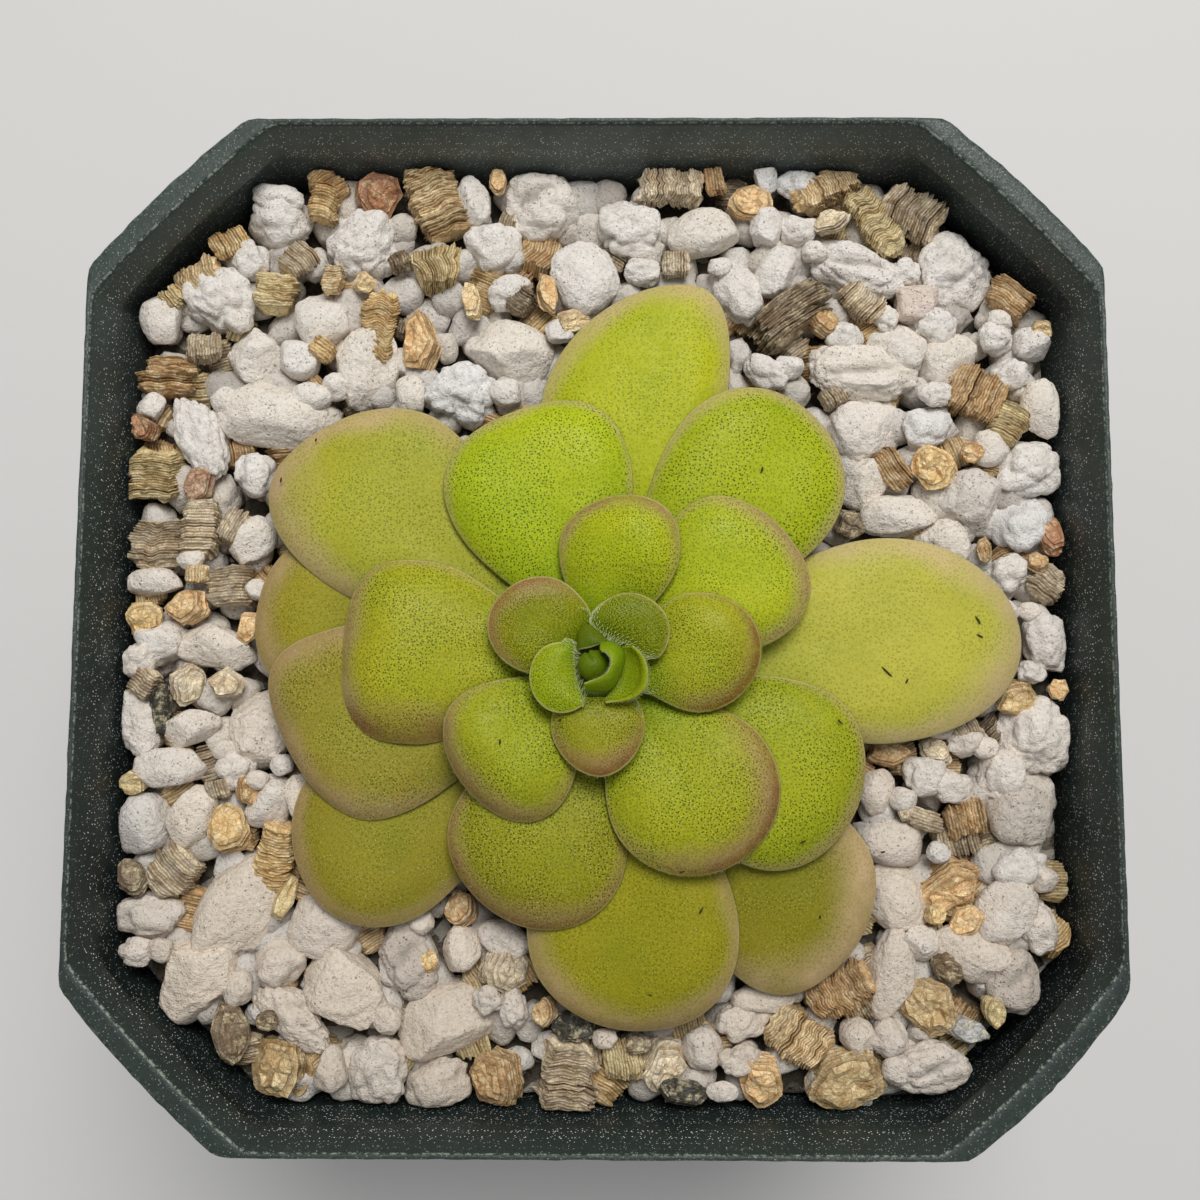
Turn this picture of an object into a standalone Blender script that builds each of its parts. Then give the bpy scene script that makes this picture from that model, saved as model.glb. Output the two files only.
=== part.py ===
# A potted butterwort: a rosette of broad leaves on a short stem, growing in a
# mix of perlite and vermiculite grains that fills a square plastic pot with
# chamfered corners. Metres, +Z up, the origin in the middle of the pot's
# underside. Lengths below are in millimetres and are scaled on the way in.
import math

import bmesh
import bpy
import numpy as np

for ob in list(bpy.data.objects):
    bpy.data.objects.remove(ob, do_unlink=True)

MM = 0.001

# ---------------------------------------------------------------- dimensions
RIM_SIDE = 76.2        # across the rim, flat to flat
RIM_CHAMFER = 11.7     # leg of the corner chamfer at the rim
LEDGE_CHAMFER = 13.2   # leg of the inner arris: a ledge runs over each corner
BASE_SIDE = 56.0
BASE_CHAMFER = 8.4
POT_HEIGHT = 72.0
BAND_HEIGHT = 10.0     # the thicker collar below the rim
WALL = 0.9
FOOT = 1.0             # the floor's underside stands this far off the table
FLOOR = 1.3
DRAIN_R = 3.2
DRAIN_XY = 14.0
GAP = 0.3              # left between pieces that touch

RIM = POT_HEIGHT
MIX_TOP = RIM - 5.9    # mean level of the mix
CX, CY = 0.5, -3.45    # the stem's axis

# ---------------------------------------------------------------- materials


def finish(name, rgb, rough, metal=0.0):
    m = bpy.data.materials.new(name)
    m.use_nodes = True
    b = m.node_tree.nodes["Principled BSDF"]
    b.inputs["Base Color"].default_value = (*rgb, 1.0)
    b.inputs["Roughness"].default_value = rough
    b.inputs["Metallic"].default_value = metal
    return m


POT_MAT = finish("pot_plastic", (0.018, 0.034, 0.030), 0.42)
MIX_MAT = finish("potting_mix", (0.42, 0.40, 0.37), 0.95)
PERLITE_MAT = finish("perlite", (0.72, 0.71, 0.68), 0.95)
VERMI_MAT = finish("vermiculite", (0.33, 0.24, 0.13), 0.55, 0.1)
LEAF_MAT = finish("leaf", (0.27, 0.34, 0.04), 0.40)
YOUNG_MAT = finish("young_leaf", (0.15, 0.25, 0.03), 0.38)
STEM_MAT = finish("stem", (0.30, 0.30, 0.12), 0.6)


def solid(name, verts, faces, mat, smooth=True):
    """One closed body from vertices in millimetres."""
    me = bpy.data.meshes.new(name)
    me.from_pydata([(x * MM, y * MM, z * MM) for x, y, z in verts], [], faces)
    bm = bmesh.new()
    bm.from_mesh(me)
    bmesh.ops.recalc_face_normals(bm, faces=bm.faces)
    bm.to_mesh(me)
    bm.free()
    me.materials.append(mat)
    if smooth:
        me.shade_smooth()
    ob = bpy.data.objects.new(name, me)
    bpy.context.collection.objects.link(ob)
    return ob


# ---------------------------------------------------------------- the pot


def octagon(side, leg, z):
    a, b = side / 2, side / 2 - leg
    return [(a, -b, z), (a, b, z), (b, a, z), (-b, a, z),
            (-a, b, z), (-a, -b, z), (-b, -a, z), (b, -a, z)]


def skin(loops):
    """Close a stack of equal loops, from the first cap to the last."""
    n = len(loops[0])
    verts = [p for loop in loops for p in loop]
    faces = [tuple(reversed(range(n)))]
    for k in range(len(loops) - 1):
        for i in range(n):
            j = (i + 1) % n
            faces.append((k * n + i, k * n + j, (k + 1) * n + j, (k + 1) * n + i))
    faces.append(tuple(range((len(loops) - 1) * n, len(loops) * n)))
    return verts, faces


def wall_side(z):
    """Outer width of the tapered wall below the collar."""
    return BASE_SIDE + (74.2 - BASE_SIDE) * z / (RIM - BAND_HEIGHT)


def wall_leg(z):
    return BASE_CHAMFER + (RIM_CHAMFER - 0.6 - BASE_CHAMFER) * z / (RIM - BAND_HEIGHT)


def inset(side, leg, d):
    return side - 2 * d, leg - (2 - math.sqrt(2)) * d


def build_pot():
    z1 = RIM - BAND_HEIGHT
    loops = [octagon(BASE_SIDE - 5.4, BASE_CHAMFER - 1.4, FOOT),
             octagon(BASE_SIDE - 5.0, BASE_CHAMFER - 1.4, 0.0),
             octagon(BASE_SIDE - 0.8, BASE_CHAMFER - 0.2, 0.0),
             octagon(BASE_SIDE, BASE_CHAMFER, 0.6)]
    for z in (z1 * 0.5, z1):
        loops.append(octagon(wall_side(z), wall_leg(z), z))
    loops += [octagon(RIM_SIDE - 1.2, RIM_CHAMFER - 0.2, z1 + 0.8),
              octagon(RIM_SIDE - 0.5, RIM_CHAMFER - 0.1, RIM - 0.8),
              octagon(RIM_SIDE, RIM_CHAMFER, RIM - 0.3),
              octagon(RIM_SIDE, RIM_CHAMFER, RIM)]
    s, c = RIM_SIDE - 0.7, LEDGE_CHAMFER
    loops += [octagon(s, c, RIM),
              octagon(s - 0.9, c - 0.2, RIM - 0.7),
              octagon(s - 2.0, c - 0.5, RIM - 2.2)]
    for z in (z1, z1 * 0.5, FOOT + FLOOR + 1.5):
        ws, wl = inset(wall_side(z), wall_leg(z), WALL)
        loops.append(octagon(ws, wl, z))
    ws, wl = inset(wall_side(FOOT + FLOOR), wall_leg(FOOT + FLOOR), WALL + 0.8)
    loops.append(octagon(ws, wl, FOOT + FLOOR))
    pot = solid("pot", *skin(loops), POT_MAT, smooth=False)
    for i, (x, y) in enumerate([(0, 0)] + [(sx * DRAIN_XY, sy * DRAIN_XY)
                                           for sx in (-1, 1) for sy in (-1, 1)]):
        bm = bmesh.new()
        bmesh.ops.create_cone(bm, cap_ends=True, segments=16,
                              radius1=DRAIN_R * MM, radius2=DRAIN_R * MM, depth=8 * MM)
        me = bpy.data.meshes.new("drain_cutter_%d" % i)
        bm.to_mesh(me)
        bm.free()
        cut = bpy.data.objects.new("drain_cutter_%d" % i, me)
        bpy.context.collection.objects.link(cut)
        cut.location = (x * MM, y * MM, 1.6 * MM)
        cut.hide_render = True
        cut.display_type = "WIRE"
        mod = pot.modifiers.new("drain_%d" % i, "BOOLEAN")
        mod.operation = "DIFFERENCE"
        mod.object = cut
    return pot


# ---------------------------------------------------------------- surface grains
# Conspicuous grains of the mix, where they lie seen from above: name, kind,
# x, y, then length, width, turn in degrees.
GRAINS = [
    ("perlite_01", "p", -25.1, 16.7, 9.6, 5.6, 3),
    ("perlite_02", "p", -18.5, 30.4, 6.1, 5.8, 90),
    ("perlite_03", "p", -4.4, 32.6, 6.2, 6.0, 40),
    ("perlite_04", "p", -0.8, 27.0, 6.0, 5.4, 100),
    ("perlite_05", "p", 8.5, 31.3, 5.6, 4.1, -10),
    ("perlite_06", "p", 28.0, 27.0, 6.6, 6.0, 60),
    ("perlite_07", "p", 21.0, 18.8, 8.8, 4.8, -6),
    ("perlite_08", "p", 33.0, 12.3, 5.2, 4.6, 10),
    ("perlite_09", "p", 32.8, -8.5, 6.0, 5.8, 90),
    ("perlite_10", "p", 30.8, -22.1, 6.6, 6.2, 120),
    ("perlite_11", "p", 25.6, -31.5, 6.2, 4.4, 5),
    ("perlite_12", "p", -26.6, -20.6, 8.8, 6.2, 120),
    ("perlite_13", "p", -29.8, -27.0, 6.4, 5.6, 75),
    ("perlite_14", "p", -11.1, -30.3, 8.2, 6.4, 15),
    ("perlite_15", "p", -19.4, -28.0, 6.2, 5.4, 150),
    ("perlite_16", "p", -29.0, 25.6, 5.6, 5.4, 40),
    ("vermiculite_01", "v", -12.5, 32.4, 6.2, 5.0, 85),
    ("vermiculite_02", "v", -32.5, 19.6, 5.0, 3.4, 0),
    ("vermiculite_03", "v", -33.2, 11.8, 4.8, 4.6, 0),
    ("vermiculite_04", "v", 15.2, 24.8, 6.6, 4.2, 35),
    ("vermiculite_05", "v", 24.0, 32.4, 5.0, 4.6, -35),
    ("vermiculite_06", "v", 29.8, 18.6, 5.8, 5.0, 130),
    ("vermiculite_07", "v", -24.4, -32.6, 5.0, 4.8, 30),
    ("vermiculite_08", "v", 25.2, -20.4, 6.2, 4.2, 80),
    ("vermiculite_09", "v", 17.4, -32.2, 6.2, 4.8, -35),
    ("vermiculite_10", "v", -2.2, -32.4, 6.0, 4.8, 85),
]


def grain_radius(g):
    return max(g[4], g[5]) / 2


def grain_base(g):
    """Level of the underside, so that all tops stand a little proud."""
    return MIX_TOP + 1.7 - 0.82 * min(g[4], g[5])


def wave(x, y, k):
    """A smooth repeatable ripple between -1 and 1."""
    return (math.sin(1.31 * x + 0.47 * y + 1.7 * k) + math.sin(-0.83 * x + 1.17 * y + 2.9 * k)
            + math.sin(0.29 * x - 1.61 * y + 0.6 * k)) / 3


def build_perlite(g, k):
    name, _, x, y, a, b, turn = g
    bm = bmesh.new()
    bmesh.ops.create_icosphere(bm, subdivisions=2, radius=1.0)
    h = 0.82 * min(a, b)
    z0 = grain_base(g) + h / 2
    ct, st = math.cos(math.radians(turn)), math.sin(math.radians(turn))
    verts = []
    for v in bm.verts:
        r = 0.92 + 0.08 * wave(4 * v.co.x + 3 * v.co.z, 4 * v.co.y - 2 * v.co.z, k)
        px, py, pz = (abs(c) ** 0.86 * math.copysign(r, c) for c in v.co)
        px, py, pz = px * a / 2, py * b / 2, pz * h / 2
        verts.append((x + px * ct - py * st, y + px * st + py * ct, z0 + pz))
    faces = [tuple(v.index for v in f.verts) for f in bm.faces]
    bm.free()
    return solid(name, verts, faces, PERLITE_MAT)


def build_vermiculite(g, k):
    """A block of leaves of mica: the layers stack along its length."""
    name, _, x, y, a, b, turn = g
    h = 0.82 * min(a, b)
    z0 = grain_base(g) + h / 2
    ct, st = math.cos(math.radians(turn)), math.sin(math.radians(turn))
    layers, n = 4, 8
    loops = []
    for i in range(2 * layers + 1):
        s = -0.5 + i / (2 * layers)
        r = 1.0 if i % 2 else 0.84
        r *= 0.96 + 0.04 * wave(5 * s, k, k)
        loop = []
        for j in range(n):
            t = 2 * math.pi * (j + 0.5) / n
            py = abs(math.cos(t)) ** 0.6 * math.copysign(1, math.cos(t)) * b / 2 * r
            pz = abs(math.sin(t)) ** 0.6 * math.copysign(1, math.sin(t)) * h / 2 * r
            px = s * a * 0.95
            loop.append((x + px * ct - py * st, y + px * st + py * ct, z0 + pz))
        loops.append(loop)
    return solid(name, *skin(loops), VERMI_MAT, smooth=False)


# ---------------------------------------------------------------- the mix
STEM_R = 2.0
STEM_LOW = RIM - 17.0
STEM_TOP = 1.9         # over the rim


def mix_level(x, y):
    """Height of the bed, sunk under each loose grain and round the stem."""
    z = MIX_TOP + 0.45 * wave(0.9 * x, 0.9 * y, 3)
    for g in GRAINS:
        if math.hypot(x - g[2], y - g[3]) < grain_radius(g) + 2.9:
            z = min(z, grain_base(g) - GAP - 0.1)
    if math.hypot(x - CX, y - CY) < STEM_R + 3.0:
        z = min(z, STEM_LOW - GAP)
    return z


def build_mix():
    n = 32
    step = 1 / n
    z_edge = MIX_TOP
    side, leg = inset(wall_side(z_edge - 6), wall_leg(z_edge - 6), WALL + GAP + 0.25)
    half = side / 2
    verts, faces = [], []
    for i in range(n + 1):
        for j in range(n + 1):
            u, v = -1 + 2 * i * step, -1 + 2 * j * step
            # square grid whose rings take the chamfered outline
            m = max(abs(u), abs(v))
            k = 1.0
            if m > 0:
                k = min(1.0, (2 - leg / half) / ((abs(u) + abs(v)) / m))
            x, y = u * half * k, v * half * k
            edge = i in (0, n) or j in (0, n)
            verts.append((x, y, mix_level(x, y) - (0.8 if edge else 0.0)))
    faces = []
    for i in range(n):
        for j in range(n):
            a = i * (n + 1) + j
            faces.append((a, a + n + 1, a + n + 2, a + 1))
    ring = ([(i, 0) for i in range(n)] + [(n, j) for j in range(n)]
            + [(i, n) for i in range(n, 0, -1)] + [(0, j) for j in range(n, 0, -1)])
    rim_ids = [i * (n + 1) + j for i, j in ring]
    z_low = FOOT + FLOOR + GAP + 0.2
    bs, bl = inset(wall_side(z_low), wall_leg(z_low), WALL + 1.2)
    k = bs / side
    low_ids = []
    for r in rim_ids:
        x, y, _ = verts[r]
        low_ids.append(len(verts))
        verts.append((x * k, y * k, z_low))
    m = len(ring)
    for q in range(m):
        p = (q + 1) % m
        faces.append((rim_ids[q], low_ids[q], low_ids[p], rim_ids[p]))
    faces.append(tuple(reversed(low_ids)))
    return solid("substrate", verts, faces, MIX_MAT, smooth=False)


# ---------------------------------------------------------------- the leaves
# One row per leaf, lowest first. Seen from above each blade is measured from
# the stem's axis: azimuth, length, distance of the widest place, half-width on
# the left and on the right, roundness of the tip (2 is an ellipse), sideways
# bend of the tip, then heights over the rim of foot, middle and tip, and the
# fall of the margins.
LEAVES = [
    ("leaf_01", 169.6, 26.6, 19.5, 6.6, 6.8, 2.3, 0.0, -4.6, -3.2, -3.9, 0.3),
    ("leaf_02", -50.2, 28.3, 21.5, 7.0, 7.0, 2.2, -1.2, -4.6, -3.0, -3.7, 0.4),
    ("leaf_03", -141.2, 27.4, 20.8, 6.1, 7.6, 1.95, 0.0, -4.5, -2.8, -3.6, 0.5),
    ("leaf_04", 6.7, 31.9, 21.3, 7.3, 8.1, 2.0, -0.9, -4.4, -1.8, -3.2, 0.5),
    ("leaf_05", -82.3, 26.9, 19.5, 7.6, 8.0, 2.05, 0.6, -4.3, -2.2, -3.0, 0.4),
    ("leaf_06", 144.8, 29.0, 20.8, 6.8, 8.3, 1.9, 1.5, -4.2, -1.6, -2.6, 0.5),
    ("leaf_07", 79.7, 30.1, 19.0, 8.1, 5.9, 2.0, -1.8, -4.0, -1.3, -1.9, 0.5),
    ("leaf_08", -169.1, 24.7, 18.0, 8.0, 6.6, 2.0, -2.4, -3.9, -1.2, -2.2, 0.5),
    ("leaf_09", 51.2, 24.9, 18.2, 6.7, 7.0, 2.05, 0.0, -3.6, -0.5, -1.4, 0.5),
    ("leaf_10", -29.3, 21.5, 15.6, 6.6, 7.4, 2.0, -0.6, -3.4, -0.2, -1.2, 0.5),
    ("leaf_11", -109.6, 19.7, 13.9, 6.7, 6.6, 1.95, 0.6, -3.0, 0.0, -1.4, 0.6),
    ("leaf_12", 108.5, 20.2, 14.5, 7.1, 7.0, 2.45, -0.4, -2.6, 0.4, -0.6, 0.6),
    ("leaf_13", 176.2, 18.9, 13.4, 6.6, 6.9, 3.1, 0.0, -2.2, 0.9, -0.5, 0.8),
    ("leaf_14", -53.8, 17.2, 11.0, 6.4, 6.2, 2.05, 0.3, -1.8, 1.0, 0.2, 0.4),
    ("leaf_15", 31.2, 16.8, 12.0, 6.7, 5.0, 2.05, -0.6, -1.4, 1.2, 0.6, 0.4),
    ("leaf_16", -139.3, 13.0, 9.2, 5.8, 4.9, 2.1, 0.4, -1.0, 1.6, 0.4, 1.0),
    ("leaf_17", 82.6, 12.5, 8.5, 4.1, 4.7, 2.05, -0.8, -0.6, 1.8, 1.4, 0.4),
    ("leaf_18", 6.8, 11.6, 7.0, 4.4, 4.2, 2.0, 0.2, 0.0, 2.0, 2.0, 0.3),
    ("leaf_19", 147.4, 8.7, 5.3, 3.5, 3.6, 2.0, 0.3, 0.8, 2.4, 2.8, 0.0),
    ("leaf_20", -89.7, 7.9, 4.3, 3.2, 3.5, 1.8, 0.0, 1.2, 2.5, 2.6, 0.2),
    ("leaf_21", 44.0, 5.9, 3.2, 3.0, 2.6, 2.0, 0.0, 2.2, 3.0, 3.4, -0.1),
    ("leaf_22", -162.8, 5.1, 2.9, 2.6, 2.4, 2.0, 0.2, 2.6, 3.2, 3.5, -0.2),
]
FOOT_R = 2.45          # where a leaf starts, out from the stem's axis
FOOT_W = 1.0           # half-width of its narrow foot
THICK = 0.48           # half-thickness of a blade at its middle
THIN = 0.22            # and at its foot
LIFT = 0.22            # clear height kept between one leaf and the next
CELL = 0.5
REACH = 36.0


class Blade:
    def __init__(self, row):
        (self.name, az, self.L, self.sp, self.wl, self.wr, self.n, self.bend,
         self.z0, self.z1, self.z2, self.camber) = row
        self.ca, self.sa = math.cos(math.radians(az)), math.sin(math.radians(az))
        self.small = self.L < 9
        self.thick = THICK * (0.62 if self.small else 1.0)
        self.foot_w = FOOT_W
        self.foot_r = FOOT_R * (0.78 if self.small else 1.0)
        self.lift = None

    def side(self, s, w):
        """Half-width at distance s for the largest half-width w."""
        s = np.asarray(s, float)
        near = self.foot_w + (w - self.foot_w) * np.sin(
            0.5 * math.pi * np.clip(s / self.sp, 0, 1)) ** 2
        x = np.clip((s - self.sp) / (self.L - self.sp), 0, 1)
        far = w * (1 - x ** self.n) ** (1 / self.n)
        return np.where(s <= self.sp, near, far)

    def half_thick(self, s):
        """Half-thickness along the midrib, thin at the foot."""
        g = np.clip((np.asarray(s, float) - self.foot_r) / (0.62 * self.sp), 0, 1)
        thin = min(THIN, self.thick)
        return thin + (self.thick - thin) * g

    def shift(self, s):
        x = np.clip((np.asarray(s, float) - self.sp) / (self.L - self.sp), 0, 1.2)
        return self.bend * x * x

    def rise(self, s, t):
        """Height of the middle surface over the rim, before it is lifted."""
        x = np.clip(np.asarray(s, float) / self.sp, 0, 1)
        y = np.clip((np.asarray(s, float) - self.sp) / (self.L - self.sp), 0, 1.3)
        z = self.z0 + (self.z1 - self.z0) * np.sin(0.5 * math.pi * x) + (self.z2 - self.z1) * y * y
        w = 0.5 * (self.wl + self.wr)
        return z - self.camber * (np.asarray(t) / w) ** 2

    def world(self, s, t):
        t = t + self.shift(s)
        return (CX + s * self.ca - t * self.sa, CY + s * self.sa + t * self.ca)

    def local(self, x, y):
        dx, dy = x - CX, y - CY
        s = dx * self.ca + dy * self.sa
        return s, -dx * self.sa + dy * self.ca - self.shift(s)

    def height(self, s, t):
        x, y = self.world(s, t)
        return RIM + self.rise(s, t) + sample(self.lift, x, y)


def grid_axes():
    n = int(round(2 * REACH / CELL)) + 1
    g = np.linspace(-REACH, REACH, n)
    return np.meshgrid(g, g, indexing="ij")


def spread(a, r):
    """Largest value within r of each cell."""
    k = int(round(r / CELL))
    out = a.copy()
    p = np.pad(a, k, mode="constant")
    n = a.shape[0]
    for i in range(-k, k + 1):
        for j in range(-k, k + 1):
            if i * i + j * j <= k * k:
                np.maximum(out, p[k + i:k + i + n, k + j:k + j + n], out=out)
    return out


def soften(a, r):
    k = int(round(r / CELL))
    w = np.cos(0.5 * math.pi * np.arange(-k, k + 1) / (k + 1)) ** 2
    w /= w.sum()
    n = a.shape[0]
    p = np.pad(a, k, mode="edge")
    p = sum(w[i] * p[i:i + n, :] for i in range(2 * k + 1))
    return sum(w[i] * p[:, i:i + n] for i in range(2 * k + 1))


def sample(a, x, y):
    """Cubic reading of a grid at points."""
    fx = (np.asarray(x, float) + REACH) / CELL
    fy = (np.asarray(y, float) + REACH) / CELL
    n = a.shape[0]
    ix = np.clip(np.floor(fx).astype(int), 1, n - 3)
    iy = np.clip(np.floor(fy).astype(int), 1, n - 3)
    u, v = fx - ix, fy - iy

    def weights(q):
        return [0.5 * (-q ** 3 + 2 * q ** 2 - q), 0.5 * (3 * q ** 3 - 5 * q ** 2 + 2),
                0.5 * (-3 * q ** 3 + 4 * q ** 2 + q), 0.5 * (q ** 3 - q ** 2)]

    wx, wy = weights(u), weights(v)
    return sum(wx[i] * wy[j] * a[ix + i - 1, iy + j - 1] for i in range(4) for j in range(4))


def stack_leaves():
    """Lay the blades one over another, each lifted clear of those below."""
    X, Y = grid_axes()
    top = np.full(X.shape, MIX_TOP - RIM + 1.75)
    blades = []
    for row in LEAVES:
        b = Blade(row)
        s, t = b.local(X, Y)
        w = np.where(t >= 0, b.side(s, b.wl), b.side(s, b.wr))
        inside = (s > b.foot_r - 0.5) & (s < b.L + 0.5) & (np.abs(t) < w + 0.4)
        h = b.half_thick(s)
        need = np.where(inside, top + LIFT + h - b.rise(s, t), 0).clip(0)
        g = np.clip((np.hypot(X - CX, Y - CY) - 4.0) / 6.0, 0, 1)
        g = g * g * (3 - 2 * g)
        b.lift = (1 - g) * soften(spread(need, 1.5), 1.0) + g * soften(spread(need, 4.5), 3.0)
        z = b.rise(s, t) + b.lift
        top = np.where(inside, np.maximum(top, z + h), top)
        blades.append(b)
    return blades, top


def blade_mesh(b, along, round_tip, rings):
    """Rings round the midrib out to the margin; top and bottom share it."""
    s0 = b.foot_r + b.foot_w
    s1 = b.sp + 0.35 * (b.L - b.sp)
    spine = [s0 + (s1 - s0) * j / along for j in range(along + 1)]
    st = []                                   # (spine index, s, t)
    for j in range(along + 1):
        st.append((j, spine[j], -float(b.side(spine[j], b.wr))))
    x1 = (s1 - b.sp) / (b.L - b.sp)
    f1 = math.asin(min(1.0, x1 ** (b.n / 2)))
    half = []
    for i in range(1, round_tip + 1):
        f = f1 + (math.pi / 2 - f1) * i / round_tip
        half.append((b.sp + (b.L - b.sp) * math.sin(f) ** (2 / b.n), max(0.0, math.cos(f)) ** (2 / b.n)))
    for s, c in half:
        st.append((along, s, -b.wr * c))
    for s, c in reversed(half[:-1]):
        st.append((along, s, b.wl * c))
    for j in range(along, -1, -1):
        st.append((j, spine[j], float(b.side(spine[j], b.wl))))
    for i in (1, 2, 3):
        a = math.pi * i / 4
        w = float(b.side(s0, b.wl))
        st.append((0, s0 - b.foot_w * math.sin(a) * 0.95, w * math.cos(a)))
    m = len(st)
    verts, pts = [], []

    def place(s, t, half_thick):
        x, y = b.world(s, t)
        z = float(b.height(s, t))
        return (float(x), float(y), z + half_thick)

    def half_thick(s, r):
        return float(b.half_thick(s)) * math.sqrt(max(0.0, 1 - r ** 2.4))

    nr = len(rings)
    spine_top = []
    for s in spine:
        spine_top.append(len(verts))
        verts.append(place(s, 0.0, half_thick(s, 0)))
    spine_low = []
    for s in spine:
        spine_low.append(len(verts))
        verts.append(place(s, 0.0, -half_thick(s, 0)))
    top, low = [], []
    for k, bs, bt in st:
        ct, cl = [spine_top[k]], [spine_low[k]]
        for r in rings:
            s = spine[k] + (bs - spine[k]) * r
            t = bt * r
            if r < 1:
                h = half_thick(s, r)
                ct.append(len(verts))
                verts.append(place(s, t, h))
                cl.append(len(verts))
                verts.append(place(s, t, -h))
            else:
                ct.append(len(verts))
                cl.append(len(verts))
                verts.append(place(s, t, 0.0))
        top.append(ct)
        low.append(cl)
    faces = []

    def add(f):
        f = [v for i, v in enumerate(f) if v != f[i - 1]]
        if len(f) > 2:
            faces.append(tuple(f))

    for q in range(m):
        p = (q + 1) % m
        for i in range(nr):
            add([top[q][i], top[q][i + 1], top[p][i + 1], top[p][i]])
            add([low[p][i], low[p][i + 1], low[q][i + 1], low[q][i]])
    return verts, faces


# ---------------------------------------------------------------- the bud
# Young leaves that still roll inward: name, foot x, y from the stem's axis and
# height, azimuth, slope at foot and at tip, length, half-width, roll radius.
BUDS = [
    ("bud_leaf_1", 1.45, -0.75, 0.45, -24.0, 62.0, 48.0, 2.6, 1.5, 1.7),
    ("bud_leaf_2", -0.55, 1.15, 0.0, 115.0, 78.0, 62.0, 1.7, 0.9, 1.4),
    ("bud_leaf_3", 0.70, -0.40, 0.0, -30.0, 84.0, 150.0, 2.3, 0.9, 0.7),
    ("bud_leaf_4", -0.72, -0.05, 0.0, 180.0, 84.0, 118.0, 1.9, 0.75, 0.9),
]
BUD_THICK = 0.2


def bud_mesh(row, base_z, along=7, across=6):
    """A blade that climbs along a curving midrib and rolls about it."""
    name, fx, fy, fz, az, a0, a1, length, w, roll = row
    ca, sa = math.cos(math.radians(az)), math.sin(math.radians(az))
    x, y, z = CX + fx, CY + fy, base_z + fz
    verts, faces = [], []
    rows = []
    ds = length / along
    for i in range(along + 1):
        u = i / along
        inc = math.radians(a0 + (a1 - a0) * u)
        tx, ty, tz = math.cos(inc) * ca, math.cos(inc) * sa, math.sin(inc)
        nx, ny, nz = -math.sin(inc) * ca, -math.sin(inc) * sa, math.cos(inc)
        wid = w * (0.62 + 0.38 * math.sin(math.pi * min(1, u * 1.25)) if u < 0.8
                   else (0.62 + 0.38 * math.sin(math.pi)) * math.sqrt(max(0.06, 1 - ((u - 0.8) / 0.2) ** 2)))
        loop = []
        for sgn in (1, -1):
            cols = range(across + 1) if sgn == 1 else range(across, -1, -1)
            for j in cols:
                v = -1 + 2 * j / across
                h = BUD_THICK * (0.35 + 0.65 * math.sqrt(max(0.0, 1 - v * v))) * sgn
                a = v * wid / roll
                ox = roll * math.sin(a)
                on = roll * (1 - math.cos(a))
                mx, mn = -math.sin(a), math.cos(a)
                sx, sy = -sa, ca
                loop.append((x + (ox + h * mx) * sx + (on + h * mn) * nx,
                             y + (ox + h * mx) * sy + (on + h * mn) * ny,
                             z + (on + h * mn) * nz))
        rows.append(loop)
        x, y, z = x + tx * ds, y + ty * ds, z + tz * ds
    return skin(rows)


def build_stem(z_top):
    """The short stem, tapering down to its anchoring root."""
    prof = [(0.5, STEM_LOW), (1.1, STEM_LOW + 3.0), (1.7, STEM_LOW + 7.0),
            (STEM_R, STEM_LOW + 10.0), (STEM_R, RIM - 1.5), (1.5, z_top - 0.6), (1.3, z_top)]
    n = 12
    loops = []
    for r, z in prof:
        loops.append([(CX + r * math.cos(2 * math.pi * i / n), CY + r * math.sin(2 * math.pi * i / n), z)
                      for i in range(n)])
    return solid("stem", *skin(loops), STEM_MAT)


def main():
    build_pot()
    build_mix()
    for k, g in enumerate(GRAINS):
        (build_perlite if g[1] == "p" else build_vermiculite)(g, k + 1)
    blades, top = stack_leaves()
    for b in blades:
        small = b.small
        verts, faces = blade_mesh(b, 4 if small else 5, 4, (0.5, 0.84, 1.0) if not small else (0.6, 1.0))
        solid(b.name, verts, faces, YOUNG_MAT if small else LEAF_MAT)
    # the stem ends inside the cup of the youngest opened leaves
    z_top = RIM + STEM_TOP
    build_stem(z_top)
    for row in BUDS:
        solid(row[0], *bud_mesh(row, z_top + GAP + 0.25), YOUNG_MAT)
    return blades


main()
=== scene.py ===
import math

import bmesh
import bpy
import numpy as np
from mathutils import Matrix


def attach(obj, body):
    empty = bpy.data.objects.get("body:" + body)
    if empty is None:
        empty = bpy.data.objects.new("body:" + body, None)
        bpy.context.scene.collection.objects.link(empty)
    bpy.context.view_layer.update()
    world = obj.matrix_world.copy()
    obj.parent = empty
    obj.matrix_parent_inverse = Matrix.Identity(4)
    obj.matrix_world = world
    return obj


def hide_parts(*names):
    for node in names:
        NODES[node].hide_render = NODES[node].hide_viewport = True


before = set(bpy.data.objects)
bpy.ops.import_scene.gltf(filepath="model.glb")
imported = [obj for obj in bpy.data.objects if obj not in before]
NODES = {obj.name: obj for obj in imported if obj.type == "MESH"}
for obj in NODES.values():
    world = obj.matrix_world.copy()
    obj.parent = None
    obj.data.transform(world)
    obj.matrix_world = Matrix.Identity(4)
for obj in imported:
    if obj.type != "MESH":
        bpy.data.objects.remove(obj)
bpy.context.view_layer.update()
MM = 0.001

# ---------------------------------------------------------------- dimensions
RIM_SIDE, RIM_CHAMFER, LEDGE_CHAMFER = 76.2, 11.7, 13.2
BASE_SIDE, BASE_CHAMFER = 56.0, 8.4
RIM = 72.0
BAND_HEIGHT, WALL, FOOT, FLOOR = 10.0, 0.9, 1.0, 1.3
DRAIN_R, DRAIN_XY = 3.2, 14.0
MIX_TOP = RIM - 5.9
CX, CY = 0.5, -3.45

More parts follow.
